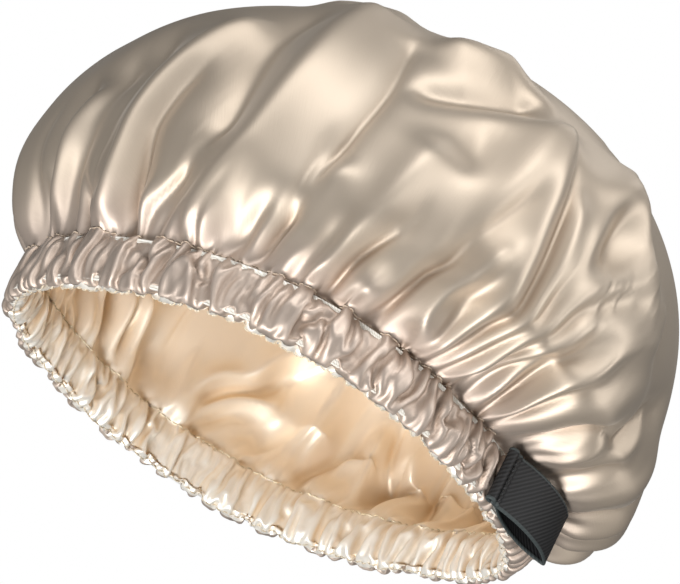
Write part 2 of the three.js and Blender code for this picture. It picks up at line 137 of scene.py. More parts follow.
@dataclass(frozen=True)
class WallShape:
    """Smooth wall of the bonnet, with its folds pulled out. Sizes are in mm.

    The sizes are the ones that the frame's solids were made with.
    """

    opening_length: float = 178.0
    opening_width: float = 160.0
    opening_centre_x: float = -3.487
    opening_point_share: float = 0.25
    opening_egg_share: float = -0.03
    crown_length: float = 215.0
    crown_width: float = 185.0
    crown_height: float = 145.0
    crown_centre_x: float = -0.087
    crown_lean: float = 3.0
    crown_egg_share: float = 0.16
    centre_y: float = 0.142
    widest_height: float = 44.0
    widest_tilt: float = 11.0
    roundness: float = 2.3
    seam_height: float = 19.1

    def rim_plan(self, turn: np.ndarray) -> np.ndarray:
        """Return the rim oval's points, seen from above.

        Args:
            turn: Turns in radians.

        Returns:
            Points, with x and y along the last axis.
        """
        cos = np.cos(turn)
        narrowing = 1 - self.opening_point_share * cos * cos + self.opening_egg_share * cos
        x = self.opening_centre_x + self.opening_length / 2 * cos
        y = self.centre_y + self.opening_width / 2 * np.sin(turn) * narrowing
        return np.stack([x, y], -1)

    def crown_plan(self, turn: np.ndarray, size: np.ndarray, rise: np.ndarray) -> np.ndarray:
        """Return the crown's outline, seen from above.

        Args:
            turn: Turns in radians.
            size: Share of its widest size.
            rise: Share of the way from the widest place to the top.

        Returns:
            Points, with x and y along the last axis.
        """
        cos = np.cos(turn)
        x = self.crown_centre_x + self.crown_lean * rise + self.crown_length / 2 * size * cos
        y = self.crown_width / 2 * size * np.sin(turn) * (1 + self.crown_egg_share * cos)
        return np.stack([x, self.centre_y + y], -1)

    def point(self, turn: np.ndarray, level: np.ndarray) -> np.ndarray:
        """Return points of the smooth wall.

        Args:
            turn: Turns in radians.
            level: Levels up the wall, of a shape that fits the turns.

        Returns:
            Points, with x, y and z along the last axis.
        """
        turn, level = np.broadcast_arrays(np.asarray(turn, float), np.asarray(level, float))
        widest = self.widest_height - self.widest_tilt * np.cos(turn)
        climb = np.clip(level - 1, 0, 1)
        swell = np.sin(climb * np.pi / 2)[..., None]
        lean = np.clip(level - 2, 0, 1) * np.pi / 2
        size = np.maximum(np.cos(lean), 0) ** (2 / self.roundness)
        rise = np.sin(lean) ** (2 / self.roundness)
        rim = self.rim_plan(turn)
        flare = rim * (1 - swell) + self.crown_plan(turn, 1.0, 0.0) * swell
        plan = np.where((level > 2)[..., None], self.crown_plan(turn, size, rise), flare)
        low = np.minimum(level, 1) * self.seam_height + (widest - self.seam_height) * climb
        height = np.where(level > 2, widest + (self.crown_height - widest) * rise, low)
        return np.concatenate([plan, height[..., None]], -1)

    def outward(self, turn: np.ndarray, level: np.ndarray, kept_level: bool = False) -> np.ndarray:
        """Return the way out of the wall.

        Args:
            turn: Turns in radians.
            level: Levels up the wall.
            kept_level: Whether the way out stays horizontal.

        Returns:
            Unit vectors along the last axis.
        """
        step = 1e-3
        turn, level = np.broadcast_arrays(np.asarray(turn, float), np.asarray(level, float))
        along = self.point(turn + step, level) - self.point(turn - step, level)
        flat = np.stack([along[..., 1], -along[..., 0], np.zeros_like(turn)], -1)
        top = np.minimum(level, 2.995)
        up = self.point(turn, top + step) - self.point(turn, top - step)
        steep = np.cross(along, up)
        level_way = (level <= 1)[..., None] | kept_level
        way = np.where(level_way, flat, steep)
        return way / np.maximum(np.linalg.norm(way, axis=-1, keepdims=True), 1e-9)


SHAPE = WallShape()


class FoldKind(Enum):
    """How a fold's section runs across its line: bluntness squared, bluntness and steepness."""

    RIDGE = (0.16, 0.4, 1.3)
    CREASE = (0.02, 0.14, 1.25)


R, C = FoldKind.RIDGE, FoldKind.CREASE
# Close points between two knots of a fold's line
FOLD_STEPS = 9
# Folds come into height over the first length and widen over the second one, in mm
FADE_LENGTH = 13.0
SPREAD_LENGTH = 45.0
# Widths from its line at which a fold is no longer felt
FOLD_REACH = 5


@dataclass(frozen=True)
class Fold:
    """One fold, followed along its line on the wall.

    Attributes:
        kind: Round like a pleat's top, or sharp like a crease.
        width: Half width in mm.
        line: Turn in degrees, level, and height out of the wall in mm, at each point of its line.
    """

    kind: FoldKind
    width: float
    line: tuple[tuple[float, float, float], ...]

    def samples(self) -> np.ndarray:
        """Follow the fold's line closely.

        Returns:
            Points on it, as turn in radians, level and height.
        """
        line = spline(np.array(self.line, float), [FOLD_STEPS] * (len(self.line) - 1))
        line[:, 0] = np.radians(line[:, 0])
        return line

    def rooted(self) -> bool:
        """Return whether the fold starts at the seam."""
        return self.line[0][1] < 1.15

    def turn_at(self, level: np.ndarray) -> np.ndarray:
        """Return the fold's turn in degrees at some levels."""
        turns, levels, _ = np.array(self.line, float).T
        return np.interp(level, levels, turns)

    def section(self, distance: np.ndarray) -> np.ndarray:
        """Return the shape of the fold's section.

        Args:
            distance: Distances in mm from its line.

        Returns:
            Shares of its height.
        """
        squared, blunt, steep = self.kind.value
        x = distance / self.width
        return np.exp(-(np.sqrt(x * x + squared) - blunt) * steep)


def raise_folds(points: np.ndarray, folds: list[Fold]) -> np.ndarray:
    """Add up the heights that folds give to points of the smooth wall.

    Args:
        points: Smooth points, in mm.
        folds: The folds.

    Returns:
        Heights out of the wall in mm, one per point.
    """
    flat = points.reshape(-1, 3)
    total = np.zeros(len(flat))
    for fold in folds:
        line = fold.samples()
        at = SHAPE.point(line[:, 0], line[:, 1])
        run = np.concatenate([[0], np.cumsum(np.linalg.norm(np.diff(at, axis=0), axis=1))])
        line[:, 2] *= smooth_step(run[-1] - run, over=FADE_LENGTH)
        if not fold.rooted():
            line[:, 2] *= smooth_step(run, over=FADE_LENGTH)
        spread = 0.75 + 0.5 * np.minimum(run / SPREAD_LENGTH, 1)
        reach = fold.width * FOLD_REACH
        near = np.all((flat > at.min(0) - reach) & (flat < at.max(0) + reach), axis=1)
        index = np.nonzero(near)[0]
        if not len(index):
            continue
        start, span = at[:-1], np.diff(at, axis=0)
        length2 = (span**2).sum(1)
        offset = flat[index, None] - start[None]
        share = np.clip((offset * span).sum(-1) / length2, 0, 1)
        gap = np.linalg.norm(offset - share[..., None] * span, axis=-1)
        best = gap.argmin(1)
        row = np.arange(len(index))
        t = share[row, best]
        height = line[best, 2] * (1 - t) + line[best + 1, 2] * t
        total[index] += height * fold.section(gap[row, best] / spread[best])
    return total.reshape(points.shape[:-1])


# Folds of the crown that the photograph shows, from its left edge to the ribbon
CROWN_FOLDS = [
    Fold(R, 5, ((192, 1.05, -2.5), (195, 1.3, -3.5), (197, 1.6, -3), (196, 1.85, -3), (195, 2.05, -3.5),
        (192, 2.15, 0))),
    Fold(R, 4.5, ((199, 1.05, 1.5), (200.5, 1.4, 2.5), (202, 1.75, 3), (203, 2.0, 2.5), (201, 2.12, 1))),
    Fold(R, 5, ((205, 1.08, -2.5), (205.5, 1.4, -3.2), (207, 1.7, -3), (206.5, 2, -2.5), (203, 2.14, -3.5),
        (198, 2.22, -1))),
    Fold(C, 3, ((212.5, 1.08, -3), (211.5, 1.25, -3), (210, 1.42, -1.5), (209, 1.5, 0))),
    Fold(C, 3, ((212.8, 1.1, -2), (214.5, 1.28, -2.5), (216.5, 1.42, 0))),
    Fold(R, 5, ((216.5, 1.04, 2.5), (216.8, 1.2, 3), (217.5, 1.4, 1.5))),
    Fold(R, 7, ((213, 1.5, -1.5), (214, 1.8, -2), (212, 2.06, -2.5), (208.5, 2.2, -3.5), (204, 2.31, -2))),
    Fold(R, 6, ((220.3, 1.08, 2.5), (221.3, 1.4, 4), (221, 1.7, 4), (220.6, 2, 4.2), (222, 2.14, 4),
        (224, 2.26, 3.5), (228, 2.38, 2.5))),
    Fold(R, 3.6, ((224.6, 1.02, -5), (224.7, 1.3, -6), (224.8, 1.62, -5), (224.2, 1.92, -4),
        (224.6, 2.06, -3), (227, 2.18, -2))),
    Fold(R, 3.4, ((227.4, 1.06, 1.8), (227.9, 1.3, 2.2), (229, 1.52, 1.2))),
    Fold(C, 3.2, ((228.6, 1.02, -4), (229.4, 1.2, -4.2), (231.6, 1.32, -4), (234.3, 1.5, -4.2),
        (235.5, 1.68, -4), (236.2, 1.86, -3.4))),
    Fold(R, 7, ((236, 1.85, -2.5), (237.6, 2.03, -4), (236.6, 2.13, -4), (234, 2.25, -4),
        (232.6, 2.37, -3.2), (233, 2.5, -1.5))),
    Fold(R, 8, ((238.5, 1.08, 2), (240.5, 1.4, 3), (242.5, 1.75, 3.8), (244.2, 2.0, 4.6), (244.5, 2.2, 5),
        (243, 2.4, 4), (241, 2.6, 2.4))),
    Fold(R, 5, ((246.3, 1.05, -2.4), (246, 1.25, -2), (245.4, 1.45, -1.6), (246.2, 1.65, -1))),
    Fold(R, 4, ((249.2, 1.02, -4.6), (249.8, 1.2, -4.4), (250.2, 1.42, -3.4), (251.3, 1.62, -2.4),
        (252, 1.85, -1))),
    Fold(C, 3.6, ((253.4, 1.02, -5), (254.4, 1.2, -6), (255.4, 1.45, -6), (256, 1.7, -5.2),
        (255.8, 1.88, -4))),
    Fold(C, 5, ((255.8, 1.88, -1), (256.8, 2.04, -3.6), (257.6, 2.14, -3.4), (257.9, 2.26, -3.6),
        (256.2, 2.4, -2.4), (254.5, 2.5, 0))),
    Fold(R, 7, ((257.8, 1.84, 1.5), (259, 1.97, 3.4), (260, 2.08, 2.5))),
    Fold(R, 4, ((261.3, 1.04, -2.8), (263, 1.38, -3), (264, 1.7, -2.4), (264.6, 1.95, -1))),
    Fold(R, 6.5, ((264.4, 1.1, 2.5), (265.6, 1.4, 3.8), (266.6, 1.7, 4.6), (268, 1.95, 5.2), (270, 2.1, 5),
        (271.5, 2.2, 2.5))),
    Fold(C, 3.4, ((268.6, 1.03, -4.5), (268.8, 1.25, -5), (269.4, 1.5, -4.6), (270.3, 1.72, -4),
        (271.8, 1.93, -3.2), (274.3, 2.06, -1.5))),
    Fold(R, 4.6, ((273, 1.05, 3), (273.3, 1.25, 4.4), (273.7, 1.45, 4), (273, 1.62, 2))),
    Fold(C, 2.4, ((272, 1.02, -2.4), (272.3, 1.2, -2), (272.5, 1.36, 0))),
    Fold(C, 4.2, ((277.4, 1.03, -4), (278.9, 1.25, -5.4), (279.5, 1.5, -5.4), (280, 1.75, -5),
        (281.7, 2, -4.4), (283.6, 2.06, -4), (285.6, 2.11, -3.4), (288, 2.17, -2.4), (289.5, 2.24, -1))),
    Fold(R, 3.2, ((287.6, 1.05, 2), (284.8, 1.25, 3), (283.5, 1.5, 3.6), (284.2, 1.8, 4), (286.2, 2, 4.4),
        (288.8, 2.06, 4.4), (291.2, 2.07, 3))),
    Fold(R, 4.2, ((289.6, 1.08, 2.4), (290.2, 1.4, 3.6), (290.8, 1.7, 4.2), (291.8, 1.92, 4.6),
        (292, 2.03, 4.8), (291.6, 2.12, 4.6), (291.4, 2.24, 4), (291, 2.36, 3), (290.5, 2.46, 2))),
    Fold(R, 5, ((287.6, 1.2, -2), (287, 1.5, -3), (287.6, 1.8, -3.4), (289, 1.98, -3), (289.8, 2.03, -2))),
    Fold(C, 3.2, ((291.6, 1.04, -3), (293, 1.35, -3.6), (294, 1.7, -3.8), (295, 1.95, -3.6),
        (295, 2.06, -3.4), (294.6, 2.16, -3.4), (294, 2.3, -2.6), (293.4, 2.42, -1.6))),
    Fold(R, 3, ((293.4, 1.1, 1.6), (295.2, 1.5, 2.4), (296.4, 1.85, 2.6), (297, 2.05, 2.8),
        (297, 2.16, 2.6), (296.6, 2.28, 2))),
    Fold(C, 3, ((294.6, 1.06, -3), (296.2, 1.35, -3.8), (297.4, 1.7, -3.6), (298.4, 1.95, -3),
        (299.4, 2.04, -2.6), (300, 2.12, -2), (299.6, 2.2, -1.4))),
    Fold(R, 4.6, ((296.6, 1.05, 2.4), (298, 1.25, 3.4), (298.9, 1.6, 4.2), (299.8, 1.92, 4.6),
        (302.6, 2.06, 4.8), (307.5, 2.13, 4.8), (311.6, 2.17, 4.6), (315, 2.22, 4), (318, 2.27, 2.6))),
    Fold(C, 3.4, ((299.9, 1.03, -4), (300.3, 1.25, -4.6), (300.2, 1.6, -4.8), (301, 1.9, -4.6),
        (303.6, 2.04, -4.4), (307.6, 2.09, -4.4), (312.6, 2.13, -4), (319, 2.17, -3.4), (325, 2.2, -1.6))),
    Fold(R, 5, ((301.6, 1.3, 2), (302.4, 1.6, 2.8), (303.6, 1.9, 3.6), (306.4, 2.04, 4), (310.6, 2.09, 4.2),
        (316, 2.14, 4.4), (321, 2.18, 4.4), (325, 2.2, 3.6), (329, 2.2, 2))),
    Fold(C, 3, ((302.4, 1.06, -3), (302.6, 1.4, -3.8), (304.6, 1.75, -3.6), (306.4, 1.94, -3),
        (309, 2.03, -2), (312, 2.06, -1))),
    Fold(R, 2.6, ((305, 1.12, 1.6), (304, 1.3, 3), (304.6, 1.44, 2))),
    Fold(R, 3.8, ((307.4, 1.04, -4), (306.7, 1.35, -5), (306.8, 1.65, -4.6), (307.6, 1.93, -3.6),
        (309.6, 2.02, -2.4), (313, 2.05, -1))),
    Fold(R, 4, ((309, 1.05, 3), (309, 1.35, 3.6), (309.6, 1.65, 4), (310.8, 1.92, 4.2), (314, 2.05, 4.2),
        (318.6, 2.1, 3.8), (323, 2.13, 3), (328, 2.14, 1.6))),
    Fold(C, 2.4, ((310.6, 1.06, -2.6), (311, 1.35, -3), (312, 1.65, -2.6), (314, 1.9, -2),
        (318, 2.03, -1.2))),
    Fold(R, 8, ((314.4, 1.2, 1.4), (315, 1.5, 2), (317, 1.8, 2.4), (321, 2, 2.4), (326, 2.08, 2),
        (331, 2.12, 1))),
    Fold(C, 4, ((317, 1.02, -3), (318.6, 1.12, -4), (320.6, 1.3, -4.8), (323, 1.6, -5), (327, 1.88, -4.8),
        (332.5, 2.04, -4), (338.5, 2.1, -3), (344, 2.14, -1.6))),
    Fold(R, 4.6, ((325.6, 1.14, 2), (327, 1.35, 3), (328.6, 1.55, 2.6), (331, 1.75, 1.6))),
    Fold(C, 3, ((323.6, 1.03, -2.6), (324.4, 1.2, -2.8), (325.8, 1.36, 0))),
    Fold(R, 5, ((333, 1.06, -2), (334, 1.4, -2.8), (336, 1.7, -3), (339, 1.92, -2.6), (343, 2.04, -1.6))),
    Fold(R, 7, ((340, 1.1, 1.6), (342, 1.6, 2.6), (344, 1.95, 2.4), (348, 2.1, 1.6))),
    Fold(R, 5, ((299.4, 2.03, 1.5), (299.8, 2.1, 3), (301, 2.17, 4), (304, 2.28, 4.4), (308, 2.37, 4),
        (312, 2.45, 2.6), (315, 2.52, 1.4))),
    Fold(R, 7, ((304.5, 2.11, -2), (306, 2.19, -3.6), (307, 2.27, -3.4), (306, 2.34, -2))),
    Fold(R, 5, ((320, 2.13, 2), (316.8, 2.2, 3.6), (314, 2.27, 4), (311.5, 2.34, 3.6), (309, 2.42, 2))),
    Fold(R, 7.5, ((281.4, 1.96, 2), (283.2, 2.08, 4), (285.6, 2.2, 5.2), (287.8, 2.33, 5),
        (288.8, 2.42, 2.5))),
    Fold(C, 7, ((257.5, 2.27, -1), (264, 2.3, -3.6), (270, 2.34, -4.4), (276, 2.39, -4.6), (283, 2.45, -4),
        (289, 2.49, -1))),
    Fold(R, 10, ((257, 2.44, 1), (264, 2.49, 3.4), (271, 2.52, 3.8), (277, 2.57, 3.2), (283, 2.62, 1.5))),
    Fold(R, 9, ((276.6, 2.12, -1.6), (276.8, 2.24, -2), (275, 2.32, -1))),
    Fold(R, 14, ((222, 2.5, 1), (232, 2.62, 2.6), (250, 2.7, 2))),
    Fold(R, 11, ((300, 2.74, -1), (311, 2.76, -4), (322, 2.75, -4.4), (337, 2.68, -2))),
    Fold(R, 9, ((270, 2.8, 1), (288, 2.8, 2.4), (300, 2.78, 1))),
]


# Folds of the lining that the photograph shows through the opening. Heights are into the bonnet
LINING_FOLDS = [
    Fold(R, 4, ((146, 1.03, 2), (146.5, 1.3, 3), (147, 1.7, 2.4), (148, 2.0, 1.5))),
    Fold(C, 3, ((141, 1.02, -3), (141.5, 1.25, -3.6), (142.5, 1.6, -3), (143.5, 1.9, -2))),
    Fold(R, 4, ((136.5, 1.03, 2.4), (137.4, 1.3, 3.6), (138.6, 1.7, 3.4), (140, 2.0, 2.4))),
    Fold(R, 4.5, ((133, 1.02, -4), (134, 1.3, -5), (135, 1.65, -4.4), (136, 2.0, -3))),
    Fold(R, 4, ((129.5, 1.04, 3), (131, 1.35, 4), (132, 1.7, 4), (133, 2.0, 3))),
    Fold(C, 2.6, ((126.8, 1.02, -3.4), (128, 1.3, -3.4), (129.4, 1.6, -2))),
    Fold(R, 5, ((124.2, 1.05, 3), (125.4, 1.4, 4.4), (127, 1.75, 4.4), (128.5, 2.05, 3))),
    Fold(R, 9, ((120, 1.1, -2), (120, 1.5, -3), (121, 1.9, -3))),
    Fold(C, 4, ((113.4, 1.02, -4), (113, 1.16, -4.5), (111.6, 1.26, -1))),
    Fold(R, 4, ((117.6, 1.04, 2.4), (116.6, 1.18, 3.4), (113.6, 1.32, 3), (110.8, 1.24, 1.5))),
    Fold(R, 5, ((110.6, 1.02, 2.5), (109.4, 1.2, 4.6), (107.4, 1.5, 5.4), (104, 1.8, 5.4), (99.5, 2.02, 5),
        (94, 2.12, 4.6), (88, 2.17, 3.4), (82, 2.22, 1.5))),
    Fold(R, 4.4, ((108, 1.08, -2), (106, 1.3, -4.4), (103, 1.62, -4.8), (98.5, 1.9, -4.6),
        (93.5, 2.04, -4.4), (87, 2.12, -2.4))),
    Fold(R, 4.6, ((108.4, 1.02, 2.2), (105.4, 1.22, 4), (102, 1.5, 4.8), (98, 1.74, 4.8), (94, 1.92, 4),
        (89.5, 2.02, 2.6))),
    Fold(R, 4, ((104.4, 1.06, -2.4), (101, 1.34, -4.4), (97, 1.62, -4.4), (93, 1.82, -2.8))),
    Fold(R, 4, ((101, 1.04, 2.4), (98.6, 1.22, 4), (95, 1.46, 3.8), (91.8, 1.66, 2.6))),
    Fold(R, 8, ((98.4, 1.02, -2), (94, 1.3, -4), (90, 1.6, -4), (87.6, 1.9, -2))),
    Fold(C, 4, ((86.6, 1.02, -4), (86.2, 1.16, -4.4), (85.4, 1.3, -1.4))),
    Fold(R, 3.6, ((90.4, 1.02, 2), (88.6, 1.22, 3.6), (86, 1.36, 3.4), (84, 1.3, 2))),
    Fold(R, 5, ((83, 1.03, 3), (84.4, 1.4, 4.4), (84.8, 1.8, 5), (84, 2.02, 5), (82, 2.14, 4),
        (78, 2.24, 2.5))),
    Fold(R, 4, ((80.6, 1.2, 2), (81.4, 1.6, 3.4), (81.2, 1.9, 3.4), (79.6, 2.06, 2))),
    Fold(R, 6, ((77, 1.03, -3), (77.6, 1.4, -4.4), (77, 1.8, -4.4), (75.4, 2.04, -4), (72, 2.18, -2))),
    Fold(R, 5, ((72.4, 1.05, 2), (73.6, 1.45, 4), (74, 1.8, 3.6), (74.4, 2.0, 2))),
    Fold(C, 3, ((70.4, 1.02, -3.6), (71.4, 1.3, -3.4), (72, 1.6, -2))),
    Fold(R, 5, ((66, 1.1, 3), (68.4, 1.45, 5), (70.4, 1.8, 5), (71, 2.02, 4.4), (71.6, 2.12, 2.5))),
    Fold(C, 3.6, ((64.4, 1.98, -2), (67.8, 2.06, -4), (70.2, 2.12, -3.6), (71.4, 2.2, -2))),
    Fold(R, 6, ((61.5, 1.1, -3), (63, 1.5, -4.4), (63.6, 1.85, -4), (62, 2.02, -2))),
    Fold(R, 5, ((56.6, 1.4, 3), (57.2, 1.75, 5), (59, 1.98, 5), (62.4, 2.04, 4.4), (65, 2.0, 3))),
    Fold(R, 4, ((53.6, 1.1, -3), (54.4, 1.5, -5), (54.4, 1.9, -5), (54.6, 2.1, -4.4), (56, 2.24, -2))),
    Fold(R, 5, ((49, 1.2, 2.4), (50, 1.6, 4.4), (52, 1.95, 4.8), (53.4, 2.12, 3.6))),
]

# Main valleys of the side that the photograph doesn't show: turn at the seam, turn on the dome, depth in mm
HIDDEN_VALLEYS = (
    (-11.5, -6.8, 3.6),
    (7.9, 6.5, 4.4),
    (32.0, 33.5, 4.0),
    (58.0, 56.9, 4.4),
    (83.9, 85.7, 4.0),
    (110.2, 108.4, 4.4),
    (137.9, 140.0, 4.0),
    (168.1, 166.7, 4.4),
    (186.0, 186.0, 0.0),
)


def hidden_side_folds(seed: int, left_out: tuple[float, float] = (0.0, 0.0), sign: int = 1) -> list[Fold]:
    """Draw folds of the same habit for the side that the photograph doesn't show.

    Args:
        seed: Start of the random draws.
        left_out: Turns in degrees between which no fold is drawn.
        sign: 1 for heights out of the wall, -1 for heights into the bonnet.

    Returns:
        The main valleys, with two pleats and a small valley between each pair.
    """
    rng = np.random.default_rng(seed)
    folds = []
    for this, following in zip(HIDDEN_VALLEYS, HIDDEN_VALLEYS[1:]):
        between = (
            (0.0, R, -this[2], rng.uniform(4.2, 5.6)),
            (rng.uniform(0.22, 0.32), R, rng.uniform(2.6, 4.2), rng.uniform(4.5, 6.5)),
            (rng.uniform(0.46, 0.56), C, -rng.uniform(1.6, 3.2), rng.uniform(2.8, 3.8)),
            (rng.uniform(0.7, 0.8), R, rng.uniform(2.6, 4.2), rng.uniform(4.5, 6.5)),
        )
        for share, kind, height, width in between:
            foot, head = (this[k] * (1 - share) + following[k] * share for k in (0, 1))
            head += rng.uniform(-2, 2) * (share > 0)
            top = rng.uniform(2.1, 2.45)
            line = tuple(
                (foot + (head - foot) * rise, 1.04 + (top - 1.04) * rise, sign * height * strength)
                for rise, strength in ((0, 0.7), (0.25, 1), (0.5, 1), (0.75, 0.75), (1, 0.25))
            )
            if not left_out[0] < foot < left_out[1]:
                folds.append(Fold(kind, width, line))
    return folds


def fine_folds(folds: list[Fold], seed: int) -> list[Fold]:
    """Draw thin folds between neighbouring ones, along the way that the cloth is drawn there.

    Args:
        folds: The larger folds.
        seed: Start of the random draws.

    Returns:
        The thin folds.
    """
    rng = np.random.default_rng(seed)
    rooted = sorted((fold for fold in folds if fold.rooted()), key=lambda fold: fold.line[0][0])
    found = []
    for this, following in zip(rooted, rooted[1:]):
        gap = following.line[0][0] - this.line[0][0]
        for _ in range(1 + int(gap / 6)):
            share, top = rng.uniform(0.25, 0.75), rng.uniform(1.5, 2.15)
            height = rng.uniform(0.5, 1.2) * rng.choice([-1, -1, 1])
            levels = np.linspace(1.02, top, 6)
            turns = this.turn_at(levels) * (1 - share) + following.turn_at(levels) * share
            line = tuple((float(turn), float(level), height) for turn, level in zip(turns, levels))
            found.append(Fold(R, rng.uniform(1.5, 2.6), line))
    return found


def drawn_aside(folds: list[Fold], levels: np.ndarray, turns: np.ndarray) -> np.ndarray:
    """Return how far the folds draw the cloth round as it climbs.

    Args:
        folds: The folds; only those that start at the seam count.
        levels: Levels up the wall.
        turns: Turns in degrees at the seam.

    Returns:
        Shifts in degrees, one per level and turn.
    """
    rooted = [fold for fold in folds if fold.rooted()]
    feet = [fold.line[0][0] for fold in rooted]
    shifts = np.array([fold.turn_at(levels) - fold.line[0][0] for fold in rooted])
    return np.array([np.interp(turns, feet, row, period=360) for row in shifts.T])


@dataclass(frozen=True)
class Gathers:
    """Fine gathers that the elastic draws in, as grooves between rounded tops. Sizes are in mm.

    Attributes:
        seed: Start of the random draws.
        pitch: Mean distance between grooves.
        depth: Depth of a groove.
        groove: Half its width.
        sway: How far it swings to both sides.
        reach_above: Least and most that it runs on over the seam.
        seam_share: Share of its depth that the stitches leave it.
        seam_spread: Distance over which they flatten it.
        rim_share: Share of its depth at the rim.
        rim_spread: Distance over which the rim flattens it.
    """

    seed: int
    pitch: float = 6.2
    depth: float = 2.7
    groove: float = 1.35
    sway: float = 1.5
    reach_above: tuple[float, float] = (1.0, 11.0)
    seam_share: float = 0.55
    seam_spread: float = 2.2
    rim_share: float = 0.8
    rim_spread: float = 5.0

    def heights(
        self, around: np.ndarray, up: np.ndarray, perimeter: float, level: np.ndarray, folds: list[Fold]
    ) -> np.ndarray:
        """Return how deep the grooves are.

        Args:
            around: Places of the columns along the rim.
            up: Places of the rows up the wall, from the rim's edge.
            perimeter: Length of the whole rim.
            level: Levels of the rows.
            folds: Folds of the crown, which the grooves above the seam run along.

        Returns:
            Heights of zero or less, one per row and column.
        """
        rng = np.random.default_rng(self.seed)
        count = int(round(perimeter / self.pitch))
        # One gap in four is wider
        gaps = rng.uniform(0.4, 1.1, count) * rng.choice([1.0, 1.0, 1.0, 2.4], count)
        places = np.cumsum(gaps) / gaps.sum() * perimeter
        aside = drawn_aside(folds, level, places / perimeter * 360) * perimeter / 360
        total = np.zeros((len(up), len(around)))
        seam = SHAPE.seam_height
        above = np.maximum(up - seam, 0)
        pinch = 1 - Bulge(1 - self.seam_share, seam, self.seam_spread).at(up)
        edge = self.rim_share + (1 - self.rim_share) * smooth_step(up, over=self.rim_spread)
        for place, drawn in zip(places, aside.T):
            depth = self.depth * rng.uniform(0.45, 1.15)
            width = self.groove * rng.uniform(0.7, 1.5)
            lean, swing = rng.normal(0, 0.1), self.sway * rng.uniform(0.2, 1)
            phase, wave = rng.uniform(0, FULL_TURN), rng.uniform(16, 30)
            top = seam + rng.uniform(*self.reach_above) * rng.uniform(0.3, 1)
            # Most grooves run from the rim to above the seam, and the others start or end in the casing
            foot = rng.uniform(-2, 1) if rng.random() < 0.8 else rng.uniform(3, 9)
            head = top if rng.random() < 0.75 else rng.uniform(10, seam)
            fade = 3 + 0.35 * max(head - seam, 0)
            run = smooth_step((up - foot) / 4 + 0.5) * smooth_step((head - up) / fade + 0.5)
            line = place + drawn + lean * (np.minimum(up, seam) - seam / 2)
            line += swing * np.sin(FULL_TURN * up / wave + phase) * np.exp(-above / 8)
            gap = (around[None, :] - line[:, None] + perimeter / 2) % perimeter - perimeter / 2
            spread = width * (1 + 0.04 * above)[:, None]
            section = np.exp(-np.sqrt((gap / spread) ** 2 + 0.05) + 0.22)
            total -= (depth * run * pinch * edge)[:, None] * section
        return total


